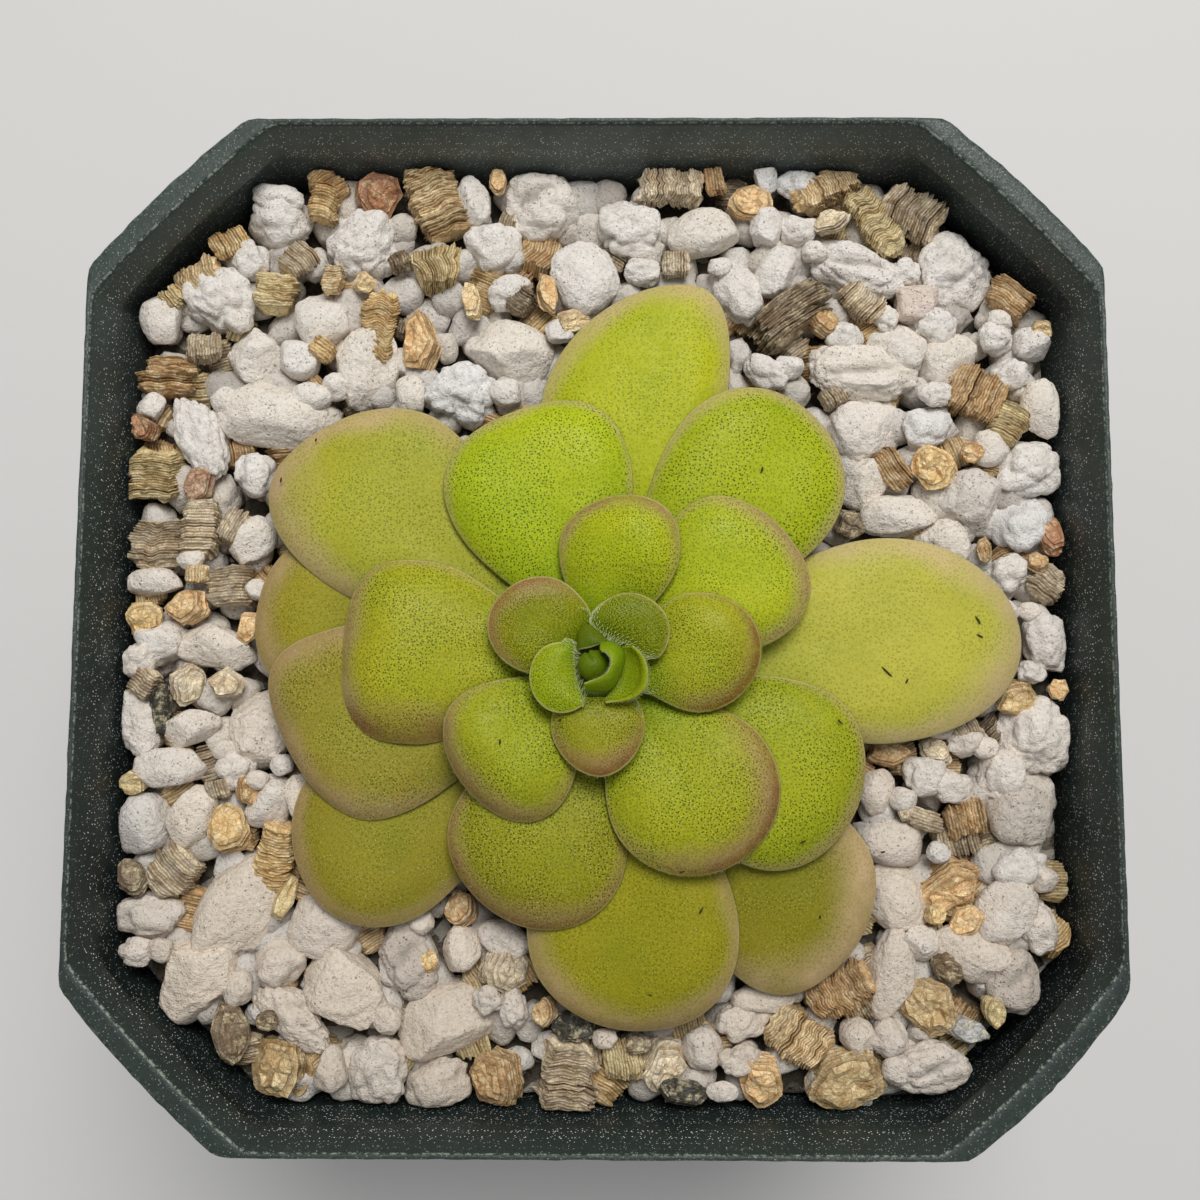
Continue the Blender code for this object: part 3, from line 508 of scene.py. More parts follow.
class Blade:
    def __init__(self, row):
        (self.name, az, self.L, self.sp, self.wl, self.wr, self.n, self.bend,
         self.z0, self.z1, self.z2, self.camber) = row
        self.az = az
        self.ca, self.sa = math.cos(math.radians(az)), math.sin(math.radians(az))
        self.small = self.L < 9
        self.thick = THICK * (0.62 if self.small else 1.0)
        self.foot_w = 1.55 if self.small else FOOT_W
        self.foot_r = 1.55 if self.small else FOOT_R
        self.power = 1.3 if self.small else 2.0
        self.skew = SKEW.get(self.name, 0.0)
        self.lift = None

    def side(self, s, w):
        s = np.asarray(s, float)
        near = self.foot_w + (w - self.foot_w) * np.sin(
            0.5 * math.pi * np.clip(s / self.sp, 0, 1)) ** self.power
        x = np.clip((s - self.sp) / (self.L - self.sp), 0, 1)
        far = w * (1 - x ** self.n) ** (1 / self.n)
        return np.where(s <= self.sp, near, far)

    def half_thick(self, s):
        g = np.clip((np.asarray(s, float) - self.foot_r) / (0.62 * self.sp), 0, 1)
        thin = min(THIN, self.thick)
        return thin + (self.thick - thin) * g

    def shift(self, s):
        s = np.asarray(s, float)
        x = np.clip((s - self.sp) / (self.L - self.sp), 0, 1.2)
        return self.bend * x * x + self.skew * (1 - np.clip(s / self.sp, 0, 1)) ** 1.5

    def rise(self, s, t):
        x = np.clip(np.asarray(s, float) / self.sp, 0, 1)
        y = np.clip((np.asarray(s, float) - self.sp) / (self.L - self.sp), 0, 1.3)
        z = self.z0 + (self.z1 - self.z0) * np.sin(0.5 * math.pi * x) + (self.z2 - self.z1) * y * y
        w = 0.5 * (self.wl + self.wr)
        return z - self.camber * (np.asarray(t) / w) ** 2

    def world(self, s, t):
        t = t + self.shift(s)
        return (CX + s * self.ca - t * self.sa, CY + s * self.sa + t * self.ca)

    def local(self, x, y):
        dx, dy = x - CX, y - CY
        s = dx * self.ca + dy * self.sa
        return s, -dx * self.sa + dy * self.ca - self.shift(s)

    def height(self, s, t):
        x, y = self.world(s, t)
        return RIM + self.rise(s, t) + sample(self.lift, x, y)


def grid_axes():
    n = int(round(2 * REACH / CELL)) + 1
    g = np.linspace(-REACH, REACH, n)
    return np.meshgrid(g, g, indexing="ij")


def spread(a, r):
    k = int(round(r / CELL))
    out = a.copy()
    p = np.pad(a, k, mode="constant")
    n = a.shape[0]
    for i in range(-k, k + 1):
        for j in range(-k, k + 1):
            if i * i + j * j <= k * k:
                np.maximum(out, p[k + i:k + i + n, k + j:k + j + n], out=out)
    return out


def soften(a, r):
    k = int(round(r / CELL))
    w = np.cos(0.5 * math.pi * np.arange(-k, k + 1) / (k + 1)) ** 2
    w /= w.sum()
    n = a.shape[0]
    p = np.pad(a, k, mode="edge")
    p = sum(w[i] * p[i:i + n, :] for i in range(2 * k + 1))
    return sum(w[i] * p[:, i:i + n] for i in range(2 * k + 1))


def sample(a, x, y):
    fx = (np.asarray(x, float) + REACH) / CELL
    fy = (np.asarray(y, float) + REACH) / CELL
    n = a.shape[0]
    ix = np.clip(np.floor(fx).astype(int), 1, n - 3)
    iy = np.clip(np.floor(fy).astype(int), 1, n - 3)
    u, v = fx - ix, fy - iy

    def weights(q):
        return [0.5 * (-q ** 3 + 2 * q ** 2 - q), 0.5 * (3 * q ** 3 - 5 * q ** 2 + 2),
                0.5 * (-3 * q ** 3 + 4 * q ** 2 + q), 0.5 * (q ** 3 - q ** 2)]

    wx, wy = weights(u), weights(v)
    return sum(wx[i] * wy[j] * a[ix + i - 1, iy + j - 1] for i in range(4) for j in range(4))


def stack_leaves():
    """Lay the blades one over another, each lifted clear of those below."""
    X, Y = grid_axes()
    top = np.full(X.shape, MIX_TOP - RIM + 1.75)
    owner = np.full(X.shape, -1)
    blades = []
    for i, row in enumerate(LEAVES):
        b = Blade(row)
        s, t = b.local(X, Y)
        w = np.where(t >= 0, b.side(s, b.wl), b.side(s, b.wr))
        inside = (s > b.foot_r - 0.5) & (s < b.L + 0.5) & (np.abs(t) < w + 0.4)
        h = b.half_thick(s)
        need = np.where(inside, top + LIFT + h - b.rise(s, t), 0).clip(0)
        g = np.clip((np.hypot(X - CX, Y - CY) - 4.0) / 6.0, 0, 1)
        g = g * g * (3 - 2 * g)
        b.lift = (1 - g) * soften(spread(need, 1.5), 1.0) + g * soften(spread(need, 4.5), 3.0)
        z = b.rise(s, t) + b.lift
        top = np.where(inside, np.maximum(top, z + h), top)
        blades.append(b)
    return blades, top


def outline(b, along, tip):
    """Margin points of a blade with the midrib point each belongs to."""
    s0, cut = FOOT_LINES.get(b.name, (b.foot_r + b.foot_w, None))
    s1 = b.sp + 0.35 * (b.L - b.sp)
    spine = np.linspace(s0, s1, along + 1)
    k, bs, bt = [], [], []
    for j in range(along + 1):
        k.append(j), bs.append(spine[j]), bt.append(-float(b.side(spine[j], b.wr)))
    f1 = math.asin(min(1.0, ((s1 - b.sp) / (b.L - b.sp)) ** (b.n / 2)))
    half = []
    for i in range(1, tip + 1):
        f = f1 + (math.pi / 2 - f1) * i / tip
        half.append((b.sp + (b.L - b.sp) * math.sin(f) ** (2 / b.n), max(0.0, math.cos(f)) ** (2 / b.n)))
    for s, c in half:
        k.append(along), bs.append(s), bt.append(-b.wr * c)
    for s, c in reversed(half[:-1]):
        k.append(along), bs.append(s), bt.append(b.wl * c)
    for j in range(along, -1, -1):
        k.append(j), bs.append(spine[j]), bt.append(float(b.side(spine[j], b.wl)))
    if cut:
        for s, t in cut_line(b.name, 3):
            k.append(0), bs.append(s), bt.append(t)
    else:
        w = float(b.side(s0, b.wl))
        for i in range(1, 6):
            a = math.pi * i / 6
            k.append(0), bs.append(s0 - b.foot_w * math.sin(a) * 0.95), bt.append(w * math.cos(a))
    return spine, np.array(k), np.array(bs), np.array(bt)


def cut_line(name, fine):
    """The cut of a small leaf, each stretch divided and the corners eased."""
    p = np.array(FOOT_LINES[name][1], float)
    u = np.linspace(0, len(p) - 1, (len(p) - 1) * fine + 1)
    q = np.c_[np.interp(u, np.arange(len(p)), p[:, 0]), np.interp(u, np.arange(len(p)), p[:, 1])]
    for _ in range(2):
        q[1:-1] = 0.25 * q[:-2] + 0.5 * q[1:-1] + 0.25 * q[2:]
    return q


def blade_points(b, s, t, edge):
    """Plan place, upper side and underside of points of a blade: soft waves, a
    shallow midrib groove, a swell that falls to a thin margin lying close below."""
    x, y = b.world(s, t)
    z = b.height(s, t)
    size = 0.5 if b.small else 1.0
    p = np.c_[x, y, np.full(len(x), 3.1 * (1 + int(b.name[-2:])))]
    out = smooth(s, 0.15 * b.L, 0.55 * b.L)
    z = z + size * (0.10 * out * noise(0.22 * p, 5) + 0.035 * noise(0.75 * p, 6))
    h = b.half_thick(s)
    crown = 1 - (1 - np.clip(edge / (1.7 if b.small else 3.0), 0, 1)) ** 2
    groove = 0.13 * size * np.exp(-(t / (0.75 * size)) ** 2) * (1 - smooth(s, 0.25 * b.L, 0.85 * b.L))
    droop = 0.17 * size * out * np.exp(-(edge / 0.55) ** 2) * (1 + 0.4 * noise(0.5 * p, 9))
    low = z - h - droop
    thin = 0.09 * size * np.sqrt(np.clip(edge / 0.12, 0, 1))
    top = low + thin + (2 * h - 0.09 * size) * crown - groove * np.clip(edge / 1.2, 0, 1)
    return x, y, top, low


def blade_body(b, along, tip, inner):
    spine, k, bs, bt = outline(b, along, tip)
    m = len(k)
    width = np.hypot(bs - spine[k], bt)
    D = np.minimum(1.7 if b.small else 3.0, 0.72 * width)
    outer = (0.80, 0.62, 0.46, 0.32, 0.21, 0.13, 0.075, 0.04, 0.018)
    radii = [(1 - D / width) * x for x in np.linspace(0, 1, inner + 1)[1:]]
    radii += [1 - D / width * y for y in outer]
    radii.append(np.ones(m))
    S = [spine[k] + (bs - spine[k]) * r for r in radii]
    T = [bt * r for r in radii]
    # distance to the margin, taken across the outline
    P = np.c_[bs, bt]

    def gap(s, t):
        q = np.c_[s, t]
        best = np.full(len(q), 99.0)
        for i in range(m):
            a, c = P[i], P[(i + 1) % m]
            d = c - a
            u = np.clip(((q - a) @ d) / max(1e-9, d @ d), 0, 1)
            np.minimum(best, np.hypot(*(q - a - u[:, None] * d).T), out=best)
        return best

    s_all = np.concatenate([spine] + S)
    t_all = np.concatenate([np.zeros(len(spine))] + T)
    edge = gap(s_all, t_all)
    edge[-m:] = 0.0
    x, y, up, down = blade_points(b, s_all, t_all, edge)
    fold = fold_of(b, s_all, t_all)
    n = len(s_all)
    verts = np.concatenate([np.c_[x, y, up + fold], np.c_[x, y, down + fold][:n - m]])
    na = len(spine)

    def ti(ring, q):
        return int(k[q]) if ring < 0 else na + ring * m + q

    def li(ring, q):
        if ring == len(radii) - 1:
            return ti(ring, q)
        return n + ti(ring, q)

    faces = []

    def add(f):
        f = [v for i, v in enumerate(f) if v != f[i - 1]]
        if len(f) > 2:
            faces.append(tuple(f))

    for q in range(m):
        p = (q + 1) % m
        for i in range(-1, len(radii) - 1):
            add([ti(i, q), ti(i + 1, q), ti(i + 1, p), ti(i, p)])
            add([li(i, p), li(i + 1, p), li(i + 1, q), li(i, q)])
    values = blade_values(b, s_all, t_all, edge, x, y)
    for key in values:
        values[key] = np.concatenate([values[key], values[key][:n - m]])
    return verts, faces, values


def fold_of(b, s, t):
    """The side and the tip of leaf 13 bend down over what is below."""
    if b.name == "leaf_13":
        return -0.35 * smooth(t, 2.6, 6.2) * smooth(s, 4, 9) - 0.15 * smooth(s, b.L - 3.0, b.L)
    return 0 * s


def blade_values(b, s, t, edge, x, y):
    strength, depth, bearing, keep, dusk, flush = LEAF_LOOKS[b.name][5:]
    mid_x, mid_y = b.world(np.array([0.62 * b.L]), np.array([0.0]))
    ang = np.arctan2(y - mid_y[0], x - mid_x[0]) - math.radians(bearing)
    turn = 0.5 + 0.5 * np.cos(ang)
    p = np.c_[x, y, np.full(len(x), 7.7 * (1 + int(b.name[-2:])))]
    reach = depth * ((1 - keep) * 0.6 + keep * turn ** 1.3) * (1 + 0.45 * noise(0.30 * p, 21))
    reach = np.maximum(reach, 0.10 * depth)
    body = 1 - smooth(edge, 0.12 * reach, 1.1 * reach)
    out = smooth(s, 0.30 * b.L, 0.62 * b.L)
    blush = strength * body * out * ((1 - keep) * 0.8 + keep * (0.12 + 0.88 * turn ** 1.2))
    blush = blush * (1 + 0.25 * noise(0.8 * p, 24))
    dark = np.clip(dusk * (0.55 + 0.6 * turn) * (1 - 0.30 * smooth(edge, 0.2, 1.0)), 0, 1)
    w = 0.5 * (b.wl + b.wr)
    wide = flush * (1 - smooth(edge, 0.0, 0.95 * w)) * (0.35 + 0.65 * turn ** 1.4) * smooth(s, 0.15 * b.L, 0.6 * b.L)
    wide = wide * (1 + 0.3 * noise(0.25 * p, 22))
    # the folded side of leaf 13 is painted darker: partly its own blush, partly painted shade where it bends down
    if b.name == "leaf_13":
        side = smooth(t, 2.8, 5.4) * smooth(s, 6, 10)
        blush = np.maximum(blush, 0.80 * side * (0.75 + 0.25 * noise(0.5 * p, 4)))
        dark = np.clip(np.where(t > 2.0, 0.35 + 0.5 * side, dark), 0, 1)
    foot = (1 - smooth(s, 0.10 * b.L, 0.62 * b.L)) * 0.90
    return {"edge": edge, "blush": np.clip(blush, 0, 1), "dusk": dark, "foot": foot,
            "flush": np.clip(wide, 0, 1)}


# ---------------------------------------------------------------- the bud
# The youngest leaves in the heart of the rosette, each a thin curved sheet
# between two border curves. A curve is a list of (u, v, height over the rim)
# with u, v where that point is seen in the 1200 by 1200 view.
BUD_SHEETS = {
    # cup-shaped leaf on the right; its outer margin is rolled over
    "bud_leaf_1": (
        [(622, 646, 2.9), (622, 656, 2.7), (621, 668, 2.6), (617, 682, 2.55), (611, 691, 2.55), (604, 700, 2.7)],
        [(634, 646, 3.7), (644, 657, 4.05), (648, 671, 4.2), (646, 687, 4.1), (632, 699, 3.7), (606, 703, 3.1)],
        -0.45, 0.30),
    # inner leaf above the heart
    "bud_leaf_2": (
        [(577, 643, 2.7), (579, 630, 2.8), (586, 624, 2.9), (596, 629, 3.0), (605, 638, 3.1), (609, 643, 3.2)],
        [(579, 650, 3.3), (583, 649, 3.5), (589, 648, 3.6), (595, 646, 3.65), (601, 644, 3.6), (607, 643, 3.5)],
        0.22, 0.10),
    # thick pale crescent wrapped round the heart
    "bud_leaf_3": (
        [(600, 650, 4.3), (607, 653, 4.75), (611, 661, 4.95), (609, 669, 4.95), (602, 676, 4.75), (584, 683, 4.1)],
        [(601, 641, 3.3), (616, 643, 3.3), (625, 655, 3.2), (621, 674, 3.2), (609, 690, 3.2), (586, 690, 3.2)],
        0.42, 0.12),
}


def curve(points, n):
    """A smooth curve through the points, n samples."""
    p = np.array([(*land(u, v, RIM + z), RIM + z) for u, v, z in points])
    p = np.concatenate([[2 * p[0] - p[1]], p, [2 * p[-1] - p[-2]]])
    out = []
    m = len(p) - 3
    for q in np.linspace(0, m - 1e-9, n):
        i = int(q)
        f = q - i
        a, b, c, d = p[i:i + 4]
        out.append(0.5 * (2 * b + (c - a) * f + (2 * a - 5 * b + 4 * c - d) * f * f + (3 * b - a - 3 * c + d) * f ** 3))
    return np.array(out)


def shell(P, h):
    """A closed body of half-thickness h (n, m) about the sheet P (n, m, 3)."""
    n, m = P.shape[:2]
    N = np.cross(np.gradient(P, axis=0), np.gradient(P, axis=1))
    N /= np.maximum(1e-9, np.linalg.norm(N, axis=2, keepdims=True))
    if N[..., 2].mean() < 0:
        N = -N
    top, low = (P + N * h[..., None]).reshape(-1, 3), (P - N * h[..., None]).reshape(-1, 3)
    q = n * m
    faces = []
    for i in range(n - 1):
        for j in range(m - 1):
            a, b, c, d = i * m + j, i * m + j + 1, (i + 1) * m + j + 1, (i + 1) * m + j
            faces.append((a, b, c, d))
            faces.append((q + d, q + c, q + b, q + a))
    ring = ([j for j in range(m - 1)] + [i * m + m - 1 for i in range(n - 1)]
            + [(n - 1) * m + j for j in range(m - 1, 0, -1)] + [i * m for i in range(n - 1, 0, -1)])
    for a, b in zip(ring, ring[1:] + ring[:1]):
        faces.append((b, a, q + a, q + b))
    return np.concatenate([top, low]), faces


def bud_body(name, along=44, across=22):
    inner, outer, bulge, roll = BUD_SHEETS[name]
    A, B = curve(inner, along), curve(outer, along)
    v = np.linspace(0, 1, across)
    ends = np.sin(np.pi * np.linspace(0.04, 0.96, along)) ** 0.5
    P = A[:, None, :] * (1 - v)[None, :, None] + B[:, None, :] * v[None, :, None]
    P[..., 2] += bulge * np.sin(np.pi * v)[None, :] * ends[:, None]
    if name == "bud_leaf_1":
        # the rolled margin: over the last fifth the sheet rises, then falls outward
        r = np.clip((v - 0.72) / 0.28, 0, 1)
        P[..., 2] += (roll * np.sin(np.pi * r) ** 0.8)[None, :] * ends[:, None]
    P[..., 2] += 0.04 * noise(P.reshape(-1, 3) * 1.7, 31).reshape(along, across)
    h = np.full((along, across), 0.10) * np.minimum(1, 0.25 + 4 * np.minimum(v, 1 - v))[None, :]
    h = h * np.minimum(1, 0.3 + 3 * ends[:, None])
    verts, faces = shell(P, h)
    width = np.linalg.norm(A - B, axis=1)
    side = (1 - v)[None, :] * width[:, None] if name == "bud_leaf_1" else v[None, :] * width[:, None]
    if name == "bud_leaf_2":
        side = (1 - v)[None, :] * width[:, None]
    edge = np.tile((side + 0.03).ravel(), 2)
    # foot here is painted shade: on the cup leaf along its inner side, in the crescent's shadow; on the other two
    # towards their outer border
    foot = np.tile((np.broadcast_to((1 - v) if name == "bud_leaf_1" else 0.75 * v, (along, across)) * 0.8).ravel(), 2)
    zero = np.zeros(len(verts))
    return verts, faces, {"edge": edge, "blush": zero, "dusk": zero, "flush": zero, "foot": foot}


def heart_body():
    """The innermost leaf, rolled into a low heart-shaped dome with a cleft."""
    n, faces = ball(5)
    x0, y0 = land(594, 665, RIM + 3.4)
    p = n.copy()
    top = np.clip(n[:, 2], 0, 1)
    # a cleft runs in from the top left and the dome leans to the left
    d = np.abs(n[:, 0] * 0.75 + n[:, 1] * 0.15 + 0.02 + 0.25 * n[:, 1] ** 2)
    cleft = np.exp(-(d / 0.10) ** 2) * smooth(n[:, 1], -0.1, 0.75)
    p = p * (1 + 0.05 * noise(1.6 * n, 33) - 0.16 * cleft)[:, None]
    p[:, 1] -= 0.10 * np.exp(-((n[:, 0] - 0.02) / 0.25) ** 2) * smooth(n[:, 1], 0.3, 1.0)
    p = p * np.array([1.12, 1.16, 0.95])
    p[:, 2] += 0.16 * top - 0.16 * p[:, 0]
    p = p + np.array([x0, y0, RIM + 3.05])
    # foot here is painted shade: darker in the cleft, and on the right side painted shadow from the crescent
    values = {"edge": np.full(len(p), 1.0), "blush": np.zeros(len(p)), "dusk": np.zeros(len(p)),
              "flush": np.zeros(len(p)), "foot": 0.35 + 0.6 * cleft + 0.3 * smooth(n[:, 0], 0.2, 0.9)}
    values["foot"] = np.clip(values["foot"], 0, 1)
    return p, faces, values


STEM_TOP = 1.9
# ---------------------------------------------------------------- where a sight line lands
EYE = np.array((1.28, -7.37, RIM + 91.8))
TURNS = [math.radians(a) for a in (5.436, 0.481, 0.111)]
FOCAL = 1264.0         # in pixels of a 1200 by 1200 frame


def facing():
    a, b, c = TURNS
    rx = np.array([[1, 0, 0], [0, math.cos(a), -math.sin(a)], [0, math.sin(a), math.cos(a)]])
    ry = np.array([[math.cos(b), 0, math.sin(b)], [0, 1, 0], [-math.sin(b), 0, math.cos(b)]])
    rz = np.array([[math.cos(c), -math.sin(c), 0], [math.sin(c), math.cos(c), 0], [0, 0, 1]])
    return rz @ ry @ rx


AXES = facing()


def land(u, v, z):
    """Plan place at height z of the point seen at pixel u, v."""
    d = AXES @ np.array([(u - 600) / FOCAL, -(v - 600) / FOCAL, -1.0])
    p = EYE + (z - EYE[2]) / d[2] * d
    return p[0], p[1]


# ---------------------------------------------------------------- grains
WHITE, CHALK, CREAM = (0.810, 0.775, 0.730), (0.785, 0.735, 0.670), (0.835, 0.775, 0.690)
GREYISH, PINKISH, ICE = (0.640, 0.600, 0.555), (0.710, 0.610, 0.540), (0.770, 0.765, 0.750)
TINTS = {"w": WHITE, "h": CHALK, "c": CREAM, "g": GREYISH, "p": PINKISH, "i": ICE,
         "gold": (0.900, 0.660, 0.320), "orange": (0.960, 0.670, 0.350), "tan": (0.940, 0.735, 0.430),
         "bronze": (0.680, 0.505, 0.260), "olive": (0.880, 0.740, 0.410), "grey": (0.680, 0.580, 0.430), "dark": (0.310, 0.240, 0.160),
         "brown": (0.720, 0.490, 0.250), "cream": (0.950, 0.840, 0.640), "rust": (0.520, 0.260, 0.135),
         "pink": (0.640, 0.420, 0.300), "coal": (0.060, 0.058, 0.045), "ice": (0.560, 0.565, 0.550)}
# Perlite lying on top: place and size seen from above in the view's pixels
# (centre, width, height), the turn of the long axis, form (k knobbly, s smooth,
# c chunky, h hollowed), tint, and the part it takes the place of, if any.
PERLITE = [
    (264, 185, 57, 34, -10, "k", "w"), (274, 216, 62, 60, 20, "k", "w"),
    (362, 241, 80, 76, 40, "k", "w", "perlite_02"), (473, 199, 36, 52, 0, "c", "w"),
    (540, 199, 84, 80, 0, "h", "h", "perlite_03"), (494, 241, 58, 60, 30, "k", "w"),
    (585, 273, 78, 70, -60, "s", "w", "perlite_04"), (509, 290, 48, 34, 25, "k", "w"),
    (509, 348, 94, 68, -12, "s", "c"), (457, 390, 78, 72, 0, "k", "i"),
    (318, 317, 56, 56, 35, "s", "h"), (364, 363, 68, 96, -15, "c", "c"),
    (298, 357, 42, 42, 0, "s", "w"), (251, 355, 60, 70, 10, "c", "h"),
    (274, 411, 130, 72, -6, "s", "c", "perlite_01"), (214, 294, 76, 74, 40, "k", "w", "perlite_16"),
    (246, 256, 44, 42, 0, "k", "w"), (157, 317, 44, 56, 0, "s", "h"),
    (199, 436, 50, 96, 18, "k", "w"), (253, 474, 42, 46, 0, "k", "w"),
    (150, 405, 30, 28, 0, "s", "h"), (249, 539, 52, 46, 40, "c", "c"),
    (151, 581, 62, 30, 0, "s", "h"), (155, 642, 60, 46, 20, "k", "w"),
    (212, 646, 86, 46, -12, "c", "c"), (122, 661, 36, 38, 0, "k", "h"),
    (237, 320, 30, 26, 0, "s", "h"), (310, 395, 44, 30, 0, "s", "h"),
    (409, 392, 30, 40, 0, "s", "c"), (335, 385, 30, 30, 0, "s", "h"),
    (560, 330, 30, 26, 0, "s", "w"), (505, 392, 34, 30, 0, "s", "w"),
    (225, 400, 34, 28, 0, "s", "h"),
    (258, 590, 26, 22, 0, "s", "h"), (190, 560, 30, 22, 0, "s", "h"),
    # upper right
    (632, 223, 74, 70, 0, "k", "w"), (703, 229, 76, 52, 6, "s", "c", "perlite_05"),
    (766, 172, 26, 32, 0, "c", "i"), (797, 168, 42, 32, 10, "k", "i"),
    (768, 226, 40, 42, 30, "c", "w"), (800, 228, 44, 34, 0, "k", "w"),
    (642, 269, 38, 32, 0, "k", "w"), (740, 290, 52, 74, 30, "k", "w"),
    (778, 269, 40, 62, -32, "c", "w"), (860, 267, 104, 50, -20, "h", "w"),
    (958, 266, 84, 90, 0, "k", "w", "perlite_06"), (846, 336, 42, 36, 0, "k", "w"),
    (898, 345, 60, 52, -30, "c", "h"), (937, 327, 44, 42, 0, "k", "w"),
    (952, 357, 66, 54, 35, "s", "c"), (998, 336, 38, 36, 0, "k", "w"),
    (1034, 342, 38, 34, 0, "c", "w"), (864, 371, 120, 62, -4, "h", "c", "perlite_07"),
    (766, 372, 50, 34, -30, "k", "w"), (1046, 408, 44, 62, 10, "s", "c"),
    (935, 394, 36, 28, 0, "k", "w"), (868, 424, 82, 66, 20, "c", "h"),
    (930, 424, 56, 46, 25, "k", "i"), (1030, 466, 74, 64, 0, "k", "w", "perlite_08"),
    (975, 497, 70, 70, 0, "s", "g"), (868, 480, 42, 62, -30, "c", "c"),
    (900, 514, 80, 44, 8, "c", "c"), (948, 537, 60, 44, -30, "c", "c"),
    (1027, 524, 62, 56, 30, "k", "i"), (1011, 572, 46, 42, 0, "k", "w"),
    (1050, 638, 48, 74, 14, "k", "w"), (993, 447, 36, 40, 0, "s", "c"),
    (918, 300, 44, 44, 0, "c", "p"), (1012, 372, 40, 34, 0, "k", "w"),
    (1000, 320, 26, 22, 0, "s", "h"), (815, 250, 26, 22, 0, "s", "h"),
    (790, 366, 30, 26, 0, "s", "w"), (720, 268, 26, 22, 0, "s", "w"),
    (888, 318, 26, 30, 0, "k", "w"), (905, 270, 36, 30, 0, "k", "w"),
    (1006, 612, 28, 26, 0, "s", "w"), (1030, 612, 24, 20, 0, "s", "h"),
    # lower right
    (1042, 736, 80, 82, 0, "k", "w", "perlite_09"), (926, 776, 44, 42, 0, "k", "w"),
    (955, 786, 42, 38, 0, "k", "w"), (880, 793, 40, 48, 0, "s", "c"),
    (904, 800, 28, 26, 0, "s", "w"), (1006, 776, 50, 54, 0, "k", "w"),
    (1025, 816, 68, 66, 0, "s", "g"), (895, 840, 68, 56, -12, "s", "h"),
    (1021, 866, 56, 36, 0, "k", "i"), (900, 900, 62, 76, 30, "s", "c"),
    (1008, 912, 58, 84, -38, "s", "w", "perlite_10"), (1040, 925, 40, 62, 15, "k", "w"),
    (921, 944, 38, 36, 0, "c", "w"), (974, 957, 94, 52, -22, "s", "h"),
    (895, 975, 46, 102, -8, "s", "h"), (1036, 1002, 54, 66, 0, "h", "g"),
    (942, 1080, 86, 54, 4, "h", "w", "perlite_11"), (891, 1040, 38, 40, 0, "k", "w"),
    (895, 1071, 26, 30, 0, "s", "w"), (765, 1000, 66, 34, 8, "s", "c"),
    (745, 1022, 60, 38, 20, "k", "h"), (703, 1050, 42, 44, 0, "s", "w"),
    (740, 1060, 44, 32, 0, "k", "h"), (968, 742, 46, 30, 15, "k", "h"),
    (940, 728, 34, 24, 0, "s", "h"), (1045, 880, 30, 26, 0, "s", "h"),
    (860, 1040, 36, 40, 0, "s", "h"), (722, 1090, 32, 20, 0, "s", "w"),
    (1000, 660, 24, 24, 0, "s", "w"), (1032, 672, 30, 24, 0, "k", "w"),
    (938, 852, 24, 22, 0, "s", "i"), (987, 748, 26, 22, 0, "s", "h"),
    # lower left
    (126, 722, 44, 78, 4, "k", "w"), (190, 727, 62, 36, 20, "c", "h"),
    (253, 730, 58, 80, 14, "c", "c"), (168, 768, 74, 42, -4, "s", "w"),
    (234, 768, 38, 46, -30, "k", "w"), (281, 765, 24, 22, 0, "s", "w"),
    (136, 824, 56, 62, 0, "s", "i"), (189, 816, 50, 64, -14, "c", "c"),
    (268, 803, 42, 56, -16, "c", "w"), (298, 795, 30, 44, 0, "s", "c"),
    (143, 918, 78, 50, 4, "k", "w"), (232, 914, 78, 124, -32, "c", "c", "perlite_12"),
    (184, 990, 82, 92, 0, "c", "c", "perlite_13"), (325, 921, 72, 88, -32, "s", "h"),
    (136, 952, 36, 30, 0, "k", "w"), (275, 965, 54, 50, 40, "k", "h"),
    (344, 992, 92, 68, -34, "c", "c", "perlite_15"), (292, 1018, 92, 46, -34, "k", "h"),
    (236, 990, 30, 36, 0, "s", "h"), (329, 1071, 34, 48, 0, "s", "h"),
    (406, 960, 58, 84, 20, "h", "g"), (461, 948, 40, 48, 0, "c", "c"),
    (444, 1023, 104, 76, 26, "s", "c", "perlite_14"), (375, 1074, 60, 68, 0, "k", "w"),
    (436, 1090, 70, 50, 30, "k", "h"), (504, 940, 56, 34, -28, "s", "w"),
    (512, 1010, 30, 44, 10, "k", "w"), (488, 1000, 30, 30, 0, "k", "w"),
    (420, 922, 28, 26, 0, "s", "h"), (386, 1020, 30, 30, 0, "s", "h"),
    (605, 1038, 26, 20, 0, "s", "h"), (225, 750, 28, 22, 0, "s", "h"),
    (258, 780, 24, 20, 0, "s", "h"), (160, 950, 26, 24, 0, "s", "h"),
]
